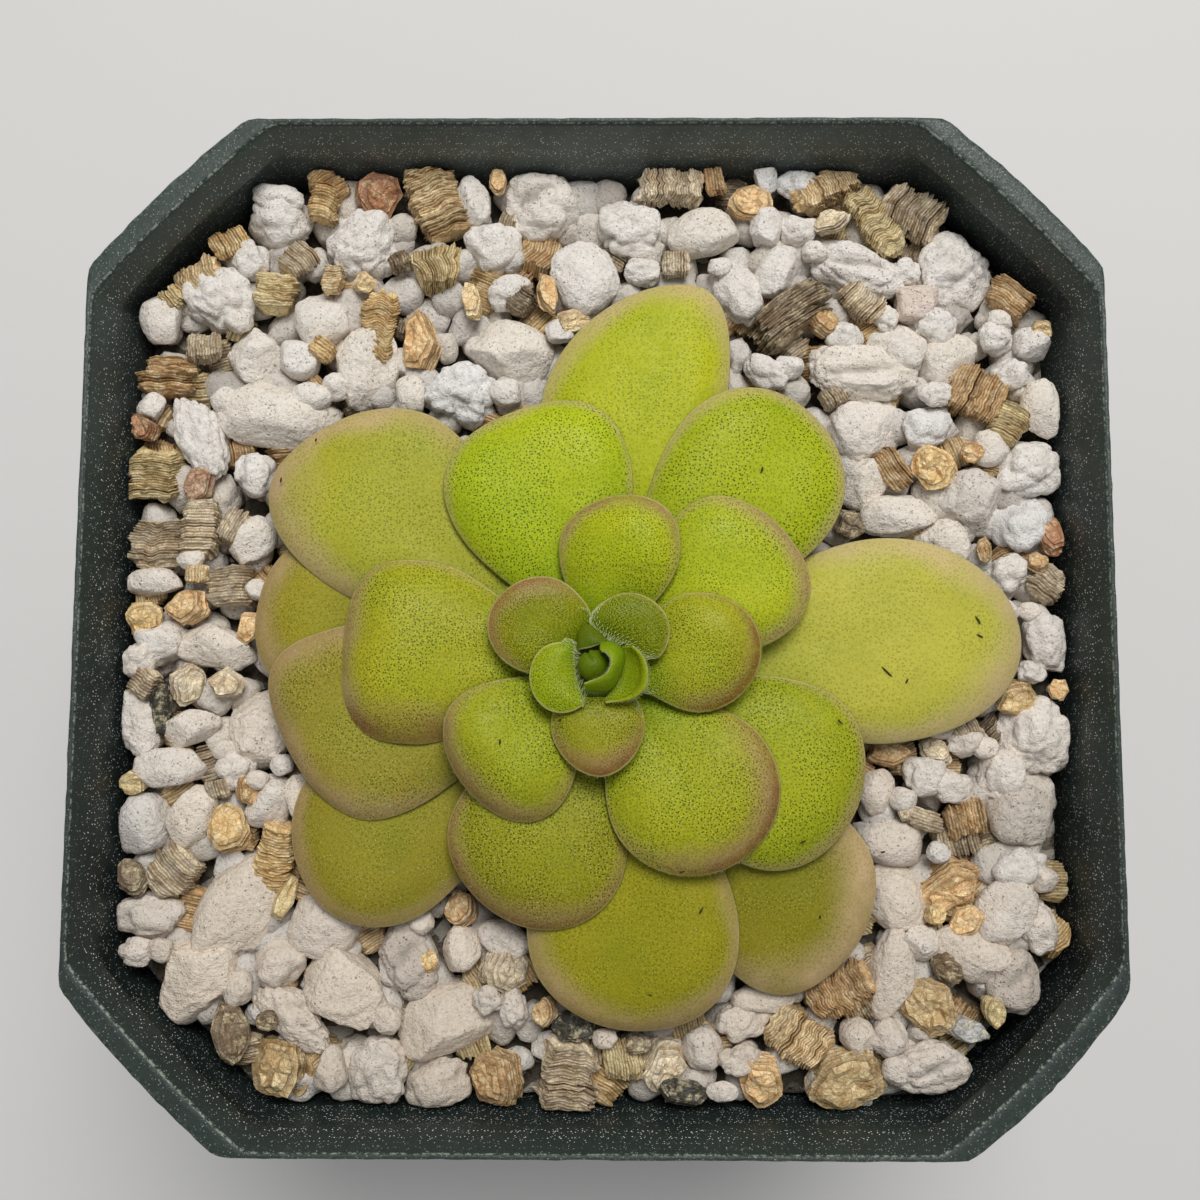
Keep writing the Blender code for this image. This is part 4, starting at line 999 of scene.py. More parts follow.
# Vermiculite: place and size as above but along the stack and across it, the
# turn of the stack, form (a accordion, f fan, b flat-sided block), tint, node.
VERMICULITE = [
    (180, 258, 52, 40, 22, "a", "tan"), (216, 229, 42, 30, 32, "a", "gold"),
    (327, 172, 44, 36, -42, "a", "brown"), (323, 202, 42, 34, 78, "a", "gold"),
    (377, 191, 50, 54, 20, "b", "rust"), (436, 195, 92, 66, -68, "a", "tan", "vermiculite_01"),
    (498, 183, 18, 30, 0, "b", "orange"), (436, 268, 56, 52, 10, "f", "olive"),
    (472, 302, 20, 42, 10, "b", "tan"), (522, 302, 32, 28, 58, "a", "dark"),
    (547, 294, 22, 50, 8, "b", "orange"), (574, 321, 36, 26, 10, "b", "tan"),
    (377, 325, 82, 44, 84, "a", "gold"), (421, 340, 42, 68, 4, "b", "orange"),
    (274, 290, 46, 48, 88, "a", "olive"), (297, 258, 40, 38, 40, "a", "grey"),
    (333, 279, 34, 24, 90, "a", "tan"), (203, 348, 38, 34, 4, "a", "grey"),
    (165, 375, 44, 70, 88, "a", "brown", "vermiculite_02"), (168, 300, 34, 28, 40, "a", "olive"),
    (142, 428, 26, 34, 60, "b", "rust"), (132, 472, 60, 60, 88, "a", "olive", "vermiculite_03"),
    (199, 482, 30, 48, -30, "b", "pink"), (149, 543, 62, 60, 86, "a", "grey"),
    (199, 528, 62, 42, 88, "a", "cream"), (232, 526, 26, 42, -30, "a", "grey"),
    (230, 586, 44, 52, 88, "a", "grey"), (137, 618, 40, 42, 60, "b", "gold"),
    (186, 608, 46, 36, 10, "b", "orange"), (250, 628, 26, 34, 0, "b", "orange"),
    (322, 350, 22, 30, 60, "a", "gold"), (365, 282, 26, 24, 0, "b", "tan"),
    (198, 574, 24, 20, 0, "a", "tan"), (400, 262, 24, 24, 30, "a", "dark"),
    # upper right
    (669, 181, 74, 42, 0, "a", "cream"), (715, 182, 22, 34, 10, "a", "brown"),
    (751, 201, 48, 38, 0, "b", "orange"), (826, 185, 80, 38, 30, "a", "tan"),
    (876, 220, 84, 44, -55, "a", "olive"), (925, 199, 72, 58, -30, "a", "grey", "vermiculite_05"),
    (676, 264, 30, 28, 0, "a", "cream"), (792, 314, 48, 96, -57, "a", "dark", "vermiculite_04"),
    (862, 300, 54, 36, -42, "a", "cream"), (1009, 298, 34, 54, 48, "a", "brown"),
    (824, 324, 30, 30, 0, "b", "brown"), (978, 392, 62, 56, -25, "a", "brown", "vermiculite_06"),
    (1008, 424, 44, 42, 60, "a", "olive"), (893, 468, 30, 50, 40, "a", "brown"),
    (937, 466, 46, 52, 30, "b", "gold"), (972, 452, 24, 24, 0, "b", "orange"),
    (850, 524, 30, 32, 0, "b", "dark"), (1057, 534, 28, 46, 10, "b", "rust"),
    (1049, 583, 40, 40, 50, "a", "grey"), (984, 549, 16, 28, 0, "b", "brown"),
    (1038, 563, 22, 22, 0, "b", "brown"), (832, 222, 40, 24, 10, "b", "cream"),
    (835, 396, 30, 24, 30, "a", "grey"), (1040, 330, 22, 20, 0, "b", "tan"),
    # lower right
    (1019, 698, 40, 38, 60, "b", "gold"), (1058, 690, 22, 22, 0, "b", "orange"),
    (891, 754, 28, 46, 90, "b", "brown"), (937, 752, 26, 36, 60, "b", "cream"),
    (967, 731, 30, 36, 40, "a", "grey"), (967, 820, 42, 42, 10, "a", "brown"),
    (922, 819, 22, 48, 75, "a", "grey"), (952, 885, 54, 66, -60, "b", "orange", "vermiculite_08"),
    (968, 922, 30, 40, -70, "b", "orange"), (843, 992, 74, 58, 24, "a", "brown"),
    (936, 1008, 56, 72, 40, "b", "bronze"), (994, 1011, 22, 34, 20, "b", "olive"),
    (948, 968, 36, 28, -30, "b", "dark"), (968, 1030, 24, 46, 74, "b", "ice"),
    (800, 1040, 70, 56, -38, "a", "tan"), (846, 1082, 80, 66, 20, "b", "bronze", "vermiculite_09"),
    (761, 1079, 42, 60, 20, "b", "orange"), (664, 1067, 48, 52, 30, "b", "cream"),
    (623, 1063, 42, 48, 2, "a", "olive"), (682, 1092, 26, 50, 80, "b", "coal"),
    (906, 812, 18, 20, 0, "b", "grey"), (935, 915, 22, 20, 0, "b", "gold"),
    (640, 1045, 26, 20, 0, "b", "dark"),
    # lower left
    (143, 682, 32, 32, 60, "a", "grey"), (184, 684, 38, 44, -20, "b", "cream"),
    (224, 682, 40, 34, 10, "b", "cream"), (159, 707, 24, 54, 0, "b", "coal"),
    (226, 830, 46, 50, -20, "b", "gold"), (272, 858, 72, 48, 78, "a", "gold"),
    (170, 872, 54, 52, 50, "a", "grey"), (130, 879, 30, 42, 20, "b", "dark"),
    (228, 1036, 40, 66, 8, "b", "dark"), (279, 1071, 66, 68, 30, "b", "bronze", "vermiculite_07"),
    (497, 1082, 60, 58, 40, "b", "brown"), (505, 970, 50, 50, -30, "b", "grey"),
    (574, 1027, 46, 34, 0, "b", "coal"), (566, 1094, 92, 68, 84, "a", "grey", "vermiculite_10"),
    (461, 910, 34, 36, 0, "b", "brown"), (132, 782, 30, 26, 20, "b", "olive"),
    (246, 793, 26, 34, 30, "b", "brown"), (284, 898, 22, 46, -20, "b", "olive"),
    (268, 1020, 24, 20, 0, "b", "dark"), (545, 1012, 26, 30, 0, "b", "brown"),
    (428, 962, 20, 22, 0, "b", "gold"), (218, 790, 24, 22, 10, "a", "grey"),
]
TOP_LEVEL = MIX_TOP + 1.7
_balls = {}


def ball(level):
    if level not in _balls:
        bm = bmesh.new()
        bmesh.ops.create_icosphere(bm, subdivisions=level, radius=1.0)
        _balls[level] = (np.array([v.co[:] for v in bm.verts]),
                         [tuple(v.index for v in f.verts) for f in bm.faces])
        bm.free()
    return _balls[level]


def turned(p, turn, tilt, roll):
    a, b, c = math.radians(turn), math.radians(tilt), math.radians(roll)
    x, y, z = p.T
    y, z = y * math.cos(c) - z * math.sin(c), y * math.sin(c) + z * math.cos(c)
    x, z = x * math.cos(b) + z * math.sin(b), -x * math.sin(b) + z * math.cos(b)
    return np.c_[x * math.cos(a) - y * math.sin(a), x * math.sin(a) + y * math.cos(a), z]


def fitted(p, a, b, h):
    """Scale a body so that its box is a by b by h."""
    lo, hi = p.min(0), p.max(0)
    return (p - (lo + hi) / 2) / (hi - lo) * np.array([a, b, h])


def perlite_body(a, b, h, form, seed, level):
    """k knobbly and foamed, s a smooth pebble, c a broken chunk, h hollowed."""
    rng = np.random.default_rng(seed)
    n, faces = ball(level)
    off = rng.uniform(-50, 50, 3)
    e = {"k": 0.90, "s": 0.86, "c": 0.72, "h": 0.84}[form]
    p = np.sign(n) * np.abs(n) ** e
    p = p / (0.5 * (1 + np.linalg.norm(p, axis=1, keepdims=True)))
    p *= (1 + {"k": 0.22, "s": 0.15, "c": 0.20, "h": 0.20}[form] * noise(1.15 * n + off, seed))[:, None]
    for _ in range({"k": 2, "s": 9, "c": 11, "h": 4}[form]):
        q = rng.normal(size=3)
        q /= np.linalg.norm(q)
        d = rng.uniform(0.62, 0.90) if form == "c" else rng.uniform(0.70, 0.94)
        over = np.maximum(0, p @ q - d)
        soft = over * over / (over + 0.03)
        p = p - (0.92 if form == "c" else 0.85) * soft[:, None] * q
    big = max(0.8, max(a, b) / 5.0)
    warp = n + 0.18 * np.c_[noise(2.1 * n + off, seed + 21), noise(2.1 * n + off, seed + 22), noise(2.1 * n + off, seed + 23)]
    if form == "k":
        f = cells(1.75 * big * warp + off, seed + 3)
        p = p * (1 + 0.34 / big ** 0.7 * (0.24 - f * f))[:, None]
        g = cells(4.4 * big * warp + off, seed + 4)
        p = p * (1 + 0.085 / big ** 0.7 * (0.24 - g * g))[:, None]
        crease = smooth(f, 0.62, 0.92) * 0.45 + smooth(g, 0.66, 0.95) * 0.25
    elif form == "c":
        f = fractal(2.6 * warp + off, seed + 5, 3)
        g = cells(3.1 * big * warp + off, seed + 4)
        p = p * (1 + 0.080 * f + 0.055 / big ** 0.7 * (0.24 - g * g))[:, None]
        crease = smooth(-f, 0.35, 0.8) * 0.30 + smooth(g, 0.70, 0.95) * 0.15
    elif form == "s":
        f = fractal(2.0 * warp + off, seed + 6, 3)
        g = cells(2.6 * big * warp + off, seed + 4)
        p = p * (1 + 0.070 * f + 0.055 / big ** 0.7 * (0.24 - g * g))[:, None]
        crease = smooth(-f, 0.45, 0.9) * 0.20 + smooth(g, 0.72, 0.95) * 0.12
    else:
        f = cells(1.9 * big * warp + off, seed + 7)
        # a crooked furrow along the top
        line = n[:, 1] - 0.22 * np.sin(2.4 * n[:, 0] + 0.6) - 0.12 * noise(2.6 * n + off, seed + 8)
        hole = np.exp(-(line / 0.13) ** 2) * smooth(n[:, 2], 0.25, 0.8) * (1 - smooth(np.abs(n[:, 0]), 0.45, 0.8))
        p = p * (1 + 0.24 / big ** 0.7 * (0.24 - f * f) - 0.20 * hole)[:, None]
        crease = smooth(f, 0.62, 0.92) * 0.35 + 0.75 * smooth(hole, 0.35, 0.9)
    p = p * (1 + 0.028 * fractal(8.0 * big * n + off, seed + 9, 2))[:, None]
    # crease: how much painted shade the chalk shader lays in each crease and hollow
    return fitted(p, a, b, h), faces, np.clip(crease, 0, 1)


def mica_body(a, b, h, form, seed, round_n=22):
    """Broken layers of mica. Forms a and f are stacked along x, form b upward,
    so that its crumpled cleavage face is seen. Two loops make one layer."""
    rng = np.random.default_rng(seed)
    flat = form == "b"
    length = h if flat else a
    layers = max(5, int(round(length / (0.34 if flat else 0.26))))
    th = 2 * math.pi * (np.arange(round_n) + 0.5) / round_n
    # cross-section: an irregular polygon with knocked-off corners
    rad0 = np.full(round_n, 1.12 if flat else 1.2)
    sides = int(rng.integers(5, 8)) if flat else 4
    first = rng.uniform(0, 2 * math.pi) if flat else rng.uniform(-0.12, 0.12)
    for q in range(sides):
        ang = first + 2 * math.pi * (q + rng.uniform(-0.13, 0.13)) / sides
        c = np.cos(th - ang)
        far = rng.uniform(0.74, 1.0) if flat else rng.uniform(0.88, 1.0)
        rad0 = np.minimum(rad0, np.where(c > 0.08, far / np.maximum(c, 0.08), 9.0))
    off = rng.uniform(-40, 40, 3)
    gap_most = {"a": 0.046, "f": 0.055, "b": 0.030}[form]
    cy, cz = np.cos(th), np.sin(th)
    wave = 0.090 * noise(np.c_[1.1 * cy, 1.1 * cz, np.zeros(round_n)] + off, seed + 2)
    wave = wave + 0.045 * noise(np.c_[3.2 * cy, 3.2 * cz, np.zeros(round_n)] + off, seed + 3)
    loops, slot, tone = [], [], []
    pack, left, shade0, shift = 1.0, 0, 1.0, np.zeros(2)
    for i in range(layers):
        if left == 0:
            left = int(rng.integers(2, 6))
            pack, shade0 = rng.uniform(0.88, 1.0), rng.uniform(0.80, 1.12)
            shift = rng.normal(0, 0.030, 2)
        left -= 1
        u = (i + 0.5) / layers - 0.5
        end = 1 - (0.30 if flat else 0.16) * smooth(abs(u), 0.34, 0.5)
        gap = gap_most * rng.uniform(0.4, 1.3) if rng.random() < 0.86 else rng.uniform(0.06, 0.14)
        jag = 1 + 0.06 * rng.normal(size=round_n) * (0.5 if flat else 1.0)
        shade = shade0 * rng.uniform(0.86, 1.10)
        size = end * pack * rng.uniform(0.96, 1.0)
        # slot: how dark the painted shade of a gap is; wider gaps darker
        for du, k, s in ((-0.50, 1 - gap, min(1.0, 0.40 + 5 * gap)), (rng.uniform(-0.15, 0.15), 1.0, 0.0)):
            x = u + du / layers
            q = np.c_[cy * 1.3, cz * 1.3, np.full(round_n, 4.0 * x)] + off
            rad = rad0 * size * k * (1 + 0.10 * noise(q, seed) + 0.05 * noise(3 * q, seed + 1)) * jag
            y, z = cy * rad * 0.5 + shift[0], cz * rad * 0.5 + shift[1]
            if form == "f":
                x = x * (0.72 + 0.75 * (y + 0.5))
            loops.append(np.c_[x + wave, y, z])
            slot.append(np.full(round_n, s))
            tone.append(np.full(round_n, shade))
    # end faces: crumpled, in three rings and a middle point
    ends = {}
    for which, base, side in (("low", loops[0], -1), ("high", loops[-1], 1)):
        mid = base.mean(0)
        extra = []
        for f in (0.78, 0.52, 0.26):
            ring = mid + (base - mid) * f
            q = np.c_[ring[:, 1] * 5.5, ring[:, 2] * 5.5, np.full(round_n, side * 3.0)] + off
            ring[:, 0] = ring[:, 0] + side * (0.03 + (0.13 if flat else 0.07) * noise(q, seed + 5)
                                              + (0.07 if flat else 0.03) * noise(2.4 * q, seed + 6))
            extra.append(ring)
        ends[which] = (extra, mid)
    low_rings = ends["low"][0][::-1]
    loops = low_rings + loops + ends["high"][0]
    slot = [np.full(round_n, 0.0)] * 3 + slot + [np.full(round_n, 0.0)] * 3
    cap = 0.95 if flat else 1.1
    tone = [np.full(round_n, cap)] * 3 + tone + [np.full(round_n, cap)] * 3
    p = np.concatenate(loops)
    n = len(loops)
    faces = []
    for i in range(n - 1):
        for j in range(round_n):
            q = (j + 1) % round_n
            faces.append((i * round_n + j, i * round_n + q, (i + 1) * round_n + q, (i + 1) * round_n + j))
    caps = []
    for i, flip in ((0, True), (n - 1, False)):
        c = len(p) + len(caps)
        caps.append(p[i * round_n:(i + 1) * round_n].mean(0))
        for j in range(round_n):
            q = (j + 1) % round_n
            faces.append((c, i * round_n + q, i * round_n + j) if flip else (c, i * round_n + j, i * round_n + q))
    p = np.concatenate([p, np.array(caps)])
    slot, tone = np.concatenate(slot + [[0.0, 0.0]]), np.concatenate(tone + [[cap, cap]])
    if flat:
        tilt = math.radians(rng.uniform(12, 34)) * rng.choice((-1, 1))
        spin = rng.uniform(0, 2 * math.pi)
        p = fitted(p, h, a, b)
        p = p[:, (1, 2, 0)]
        c, s = math.cos(spin), math.sin(spin)
        q = np.c_[p[:, 0] * c + p[:, 1] * s, -p[:, 0] * s + p[:, 1] * c, p[:, 2]]
        q = np.c_[q[:, 0] * math.cos(tilt) + q[:, 2] * math.sin(tilt), q[:, 1],
                  -q[:, 0] * math.sin(tilt) + q[:, 2] * math.cos(tilt)]
        p = np.c_[q[:, 0] * c - q[:, 1] * s, q[:, 0] * s + q[:, 1] * c, q[:, 2]]
    return fitted(p, a, b, h), faces, np.clip(slot, 0, 1), tone


def wall_side(z):
    return BASE_SIDE + (74.2 - BASE_SIDE) * z / (RIM - BAND_HEIGHT)


def wall_leg(z):
    return BASE_CHAMFER + (RIM_CHAMFER - 0.6 - BASE_CHAMFER) * z / (RIM - BAND_HEIGHT)


def inset(side, leg, d):
    return side - 2 * d, leg - (2 - math.sqrt(2)) * d


def against_wall(p):
    """A grain that meets the pot's inner wall lies flat against it."""
    p = p.copy()
    z = np.minimum(p[:, 2], RIM - BAND_HEIGHT)
    side, leg = inset(wall_side(z), wall_leg(z), WALL + 0.06)
    p[:, 0] = np.clip(p[:, 0], -side / 2, side / 2)
    p[:, 1] = np.clip(p[:, 1], -side / 2, side / 2)
    over = np.maximum(0, np.abs(p[:, 0]) + np.abs(p[:, 1]) - (side - leg))
    p[:, 0] -= np.sign(p[:, 0]) * over / 2
    p[:, 1] -= np.sign(p[:, 1]) * over / 2
    return p


def keep_inside(x, y, r):
    """Pull a grain back from the walls of the pot."""
    half = 36.3 - r
    x, y = min(max(x, -half), half), min(max(y, -half), half)
    lim = 60.6 - 1.35 * r
    over = abs(x) + abs(y) - lim
    if over > 0:
        x -= math.copysign(over / 2, x)
        y -= math.copysign(over / 2, y)
    return x, y


# ---------------------------------------------------------------- build: leaves
blades, leaf_top = stack_leaves()
for b in blades:
    size = max(0.45, min(1.0, b.L / 22))
    along, tip, inner = int(26 * size) + 8, int(24 * size) + 10, int(5 * size) + 3
    verts, faces, values = blade_body(b, along, tip, inner)
    g, warm, pale, dots, pitch = LEAF_LOOKS[b.name][:5]
    skin = leaf_look(b.name + "_skin", (g * warm, g, g * pale), dots, pitch)
    carry(make(b.name + "_blade", verts, faces, skin, values=values), "young_leaf" if b.small else "leaf", b.name)
BUD_TINTS = {"bud_leaf_1": (0.300, 0.82, 0.022), "bud_leaf_2": (0.135, 0.74, 0.016),
             "bud_leaf_3": (0.285, 0.70, 0.020), "bud_leaf_4": (0.165, 0.70, 0.014)}
for name, (g, warm, pale) in BUD_TINTS.items():
    verts, faces, values = heart_body() if name == "bud_leaf_4" else bud_body(name)
    skin = leaf_look(name + "_skin", (g * warm, g, g * pale), 0.45 if name == "bud_leaf_1" else 0.12, 0.2)
    carry(make(name + "_blade", verts, faces, skin, values=values), "young_leaf", name)
# ---------------------------------------------------------------- glands and bristles


def surface_samples(b, density, rng):
    """Points spread over a blade's upper side with their edge distance."""
    n = int(density * b.L * (b.wl + b.wr))
    s = rng.uniform(b.foot_r + 0.5, b.L, n)
    t = rng.uniform(-b.wr, b.wl, n)
    w = np.where(t >= 0, b.side(s, b.wl), b.side(s, b.wr))
    ok = np.abs(t) < w - 0.08
    s, t, w = s[ok], t[ok], w[ok]
    # distance to the margin: across the blade, and towards its rounded tip
    far = np.clip((s - b.sp) / (b.L - b.sp), 0, 1)
    lean = np.where(t >= 0, b.wl, b.wr)
    q = (far ** b.n + (np.abs(t) / lean) ** b.n) ** (1 / b.n)
    edge = np.where(s > b.sp, (1 - q) * np.minimum(lean, b.L - b.sp) * (0.75 + 0.25 * (1 - far)), w - np.abs(t))
    edge = np.maximum(edge, 0.02)
    x, y, up, down = blade_points(b, s, t, edge)
    z = up + fold_of(b, s, t)
    seen = z - RIM > sample(leaf_top, x, y) - 1.3
    # what a higher leaf covers is left out
    for o in blades[blades.index(b) + 1:]:
        os_, ot = o.local(x, y)
        ow = np.where(ot >= 0, o.side(os_, o.wl), o.side(os_, o.wr))
        seen &= ~((os_ > o.foot_r - 0.3) & (os_ < o.L) & (np.abs(ot) < ow))
    return x[seen], y[seen], z[seen], s[seen], t[seen], edge[seen]


# How thickly the dew glistens on a leaf, and over how wide a margin (mm).
DEW = {"leaf_16": (2.4, 3.0), "leaf_11": (2.6, 3.2), "leaf_08": (2.2, 2.8), "leaf_14": (1.2, 2.4),
       "leaf_10": (2.0, 2.8), "leaf_13": (0.9, 1.8), "leaf_15": (1.0, 1.8), "leaf_17": (0.6, 1.4),
       "leaf_18": (0.6, 1.6), "leaf_09": (1.2, 2.0), "leaf_12": (0.9, 1.8), "leaf_03": (2.2, 3.0),
       "leaf_06": (1.6, 2.6), "leaf_02": (0.9, 2.2), "leaf_05": (0.7, 1.8), "leaf_04": (0.5, 1.8)}
ring_n = 5
ring_a = 2 * math.pi * np.arange(ring_n) / ring_n


def bead(x, y, z, r, tall):
    """A stalked droplet: narrow foot in the skin, round head."""
    pts = []
    for rr, zz in ((0.25 * r, -0.03), (r, tall - 0.9 * r), (0.72 * r, tall - 0.25 * r)):
        pts += [(x + rr * math.cos(a), y + rr * math.sin(a), z + zz) for a in ring_a]
    pts.append((x, y, z + tall))
    f = [tuple(reversed(range(ring_n)))]
    for lv in (0, 1):
        for j in range(ring_n):
            q = (j + 1) % ring_n
            f.append((lv * ring_n + j, lv * ring_n + q, (lv + 1) * ring_n + q, (lv + 1) * ring_n + j))
    for j in range(ring_n):
        f.append((2 * ring_n + j, 2 * ring_n + (j + 1) % ring_n, 3 * ring_n))
    return pts, f


rng = np.random.default_rng(11)
heap = [Heap(), Heap()]
for b in blades[:18]:
    much, band = DEW.get(b.name, (0.8, 1.5))
    x, y, z, s, t, edge = surface_samples(b, 2.4 * max(1.0, much), rng)
    keep = rng.random(len(x)) < (0.07 + 0.75 * np.exp(-(edge / band) ** 2)) * min(1.0, 0.30 + 0.22 * much)
    keep &= edge > rng.uniform(0.12, 0.5, len(x))
    for i in np.nonzero(keep)[0]:
        r = rng.uniform(0.018, 0.040)
        pts, f = bead(x[i], y[i], z[i], r, r * 2.2)
        heap[0 if int(b.name[-2:]) > 10 else 1].add(pts, f, (0.6, 0.6, 0.3))
dew = droplet_look()
for i, h in enumerate(heap):
    ob = h.piece(("gland_dew_inner", "gland_dew_outer")[i], dew)
    carry(ob, "leaf")
def bristle(p, d, length, r):
    """A fine stiff hair from p towards d, three-sided."""
    p, d = np.array(p), np.array(d) / np.linalg.norm(d)
    a = np.cross(d, (0.3, 0.1, 1.0))
    a /= np.linalg.norm(a)
    c = np.cross(d, a)
    pts = []
    for u, k in ((0.0, 1.0), (0.55, 0.75)):
        mid = p + d * length * u + np.array([0, 0, -0.10 * length * u * u])
        pts += [mid + r * k * (math.cos(q) * a + math.sin(q) * c) for q in (0, 2.094, 4.189)]
    pts.append(p + d * length + np.array([0, 0, -0.10 * length]))
    f = [(2, 1, 0)]
    for j in range(3):
        q = (j + 1) % 3
        f += [(j, q, 3 + q, 3 + j), (3 + j, 3 + q, 6)]
    return pts, f


rng = np.random.default_rng(23)
heap = Heap()


def hair(x, y, z, ang, up, length, r=0.016):
    d = np.array([math.cos(ang), math.sin(ang), up])
    pts, f = bristle((x, y, z), d, length, r)
    heap.add(pts, f, (0.7, 0.75, 0.5))


HOLLOW = land(594, 658, RIM + 3.2)


def under_another(b, x, y):
    for o in blades[blades.index(b) + 1:]:
        os_, ot = o.local(x, y)
        low = FOOT_LINES[o.name][0] - 1.0 if o.name in FOOT_LINES else o.foot_r - 0.3
        if low < os_ < o.L and abs(ot) < float(o.side(os_, o.wl if ot >= 0 else o.wr)):
            return True
    return False


def on_blade(b, s, t, edge):
    x, y, up, low = blade_points(b, np.array([s]), np.array([t]), np.array([edge]))
    return x[0], y[0], up[0]


for b in blades[17:20]:
    # a fringe of lashes round the foot, pointing to the middle
    s0 = b.foot_r + b.foot_w
    w = float(b.side(s0, b.wl))
    for row_, back in ((0, 0.04), (1, 0.22), (2, 0.45)):
        for a in np.arange(-0.15, 1.15, 0.045 + 0.02 * row_) * math.pi:
            a += rng.uniform(-0.03, 0.03)
            s = s0 - (b.foot_w * 0.95 - back) * math.sin(a) if 0 <= a <= math.pi else s0 + 1.2 * min(abs(a), abs(a - math.pi))
            t = (w - 0.1 - back * 0.5) * math.cos(min(max(a, 0), math.pi))
            x, y, up = on_blade(b, s, t, 0.06 + back)
            to = math.atan2(HOLLOW[1] - y, HOLLOW[0] - x) + rng.uniform(-0.35, 0.35)
            hair(x, y, up - 0.02, to, rng.uniform(0.1, 0.7), rng.uniform(0.42, 0.72) * (1 - 0.25 * row_), 0.021)
for b in blades[20:]:
    # a dense fringe along the cut beside the hollow
    line = cut_line(b.name, 14)
    for back, reach, gap in ((0.03, 0.66, 0.10), (0.17, 0.48, 0.15), (0.36, 0.36, 0.22), (0.62, 0.28, 0.34)):
        walked = 0.0
        for p, q in zip(line, line[1:]):
            walked += float(np.hypot(*(q - p)))
            if walked < gap:
                continue
            walked = 0.0
            s, t = q[0] + back + rng.uniform(-0.05, 0.05), q[1] * (1 - 0.10 * back) + rng.uniform(-0.03, 0.03)
            x, y, up = on_blade(b, s, t, 0.06 + back)
            to = math.atan2(HOLLOW[1] - y, HOLLOW[0] - x) + rng.uniform(-0.40, 0.40)
            hair(x, y, up - 0.02, to, rng.uniform(0.15, 0.65), reach * rng.uniform(0.75, 1.2), 0.023)
for b in blades[11:]:
    # short hairs on the blade, thicker towards the heart
    n = int(12 * b.L * (b.wl + b.wr) * (1.0 if b.L < 14 else 0.5))
    first = FOOT_LINES[b.name][0] if b.name in FOOT_LINES else b.foot_r + 0.3
    s = rng.uniform(first, b.L * 0.97, n)
    t = rng.uniform(-b.wr, b.wl, n)
    w = np.where(t >= 0, b.side(s, b.wl), b.side(s, b.wr))
    near = np.exp(-(np.hypot(s - 1.5, 0.6 * t) / (3.2 if b.L < 9 else 4.8)) ** 2)
    much = 0.20 if b.name == "leaf_21" else 0.42
    ok = (np.abs(t) < w - 0.15) & (s < b.L - 0.2) & (rng.random(n) < 0.04 + much * near)
    xx, yy, up, low = blade_points(b, s[ok], t[ok], np.minimum(w[ok] - np.abs(t[ok]), b.L - s[ok]))
    for x, y, z in zip(xx, yy, up):
        if not under_another(b, x, y):
            hair(x, y, z - 0.01, math.atan2(HOLLOW[1] - y, HOLLOW[0] - x) + rng.uniform(-0.5, 0.5), 0.9,
                 rng.uniform(0.14, 0.26), 0.012)
for b in blades[13:20]:
    # a sparse fringe of hairs round the margin
    spine, kk, bs, bt = outline(b, 40, 60)
    sx, ty = bs[:-5], bt[:-5]
    for i in range(1, len(sx)):
        long = float(np.hypot(sx[i] - sx[i - 1], ty[i] - ty[i - 1]))
        for _ in range(rng.poisson(long / 0.22)):
            f = rng.random()
            s, t = sx[i - 1] + (sx[i] - sx[i - 1]) * f, (ty[i - 1] + (ty[i] - ty[i - 1]) * f) * 0.985
            x, y, up = on_blade(b, s, t, 0.05)
            if under_another(b, x, y):
                continue
            mx, my = b.world(np.array([0.5 * b.L]), np.array([0.0]))
            to = math.atan2(y - my[0], x - mx[0]) + rng.uniform(-0.4, 0.4)
            hair(x, y, up - 0.02, to, rng.uniform(0.8, 1.8), rng.uniform(0.10, 0.20), 0.012)
# lashes along the margins of the bud leaves
for name, which, reach in (("bud_leaf_1", 0, 0.34), ("bud_leaf_3", 0, 0.13), ("bud_leaf_1", 1, 0.20)):
    line = curve(BUD_SHEETS[name][which], 60)
    for x, y, z in line[3:-3]:
        out = name == "bud_leaf_1"
        to = math.atan2(y - CY, x - CX) if out else math.atan2(CY - y, CX - x)
        hair(x, y, z, to + rng.uniform(-0.3, 0.3), 0.5, reach * rng.uniform(0.8, 1.3), 0.014)
ob = heap.piece("heart_bristles", bristle_look())
carry(ob, "young_leaf")
# dark scraps of dust lying on the leaves: pixel, length, turn
rng = np.random.default_rng(5)
heap = Heap()
for u, v, length, turn in ((762, 470, 0.5, 60), (978, 620, 0.7, -70), (980, 636, 0.5, -40), (887, 672, 1.0, -55),
                           (907, 681, 0.4, 50), (701, 911, 0.6, 50), (803, 842, 0.45, 10), (840, 722, 0.55, -60),
                           (883, 852, 0.35, 0), (316, 440, 0.3, 60), (682, 872, 0.4, 10), (650, 995, 0.3, -40),
                           (820, 917, 0.3, 80), (560, 720, 0.3, 20), (500, 742, 0.4, 75), (281, 480, 0.4, 70)):
    zc = 0.0
    for _ in range(4):
        x, y = land(u, v, RIM + zc)
        zc = float(sample(leaf_top, np.array([x]), np.array([y]))[0])
    n, f = ball(2)
    p = n * np.array([length / 2, 0.075, 0.05]) * (1 + 0.25 * noise(3 * n + u, 2))[:, None]
    p[:, 1] += 0.10 * length * np.sin(2.2 * p[:, 0] / length)
    p = turned(p, turn, 0, 0) + np.array([x, y, RIM + zc + 0.03])
    heap.add(p, f, (0.05, 0.04, 0.02))
ob = heap.piece("dust_scraps", fleck_look())
carry(ob, "leaf")

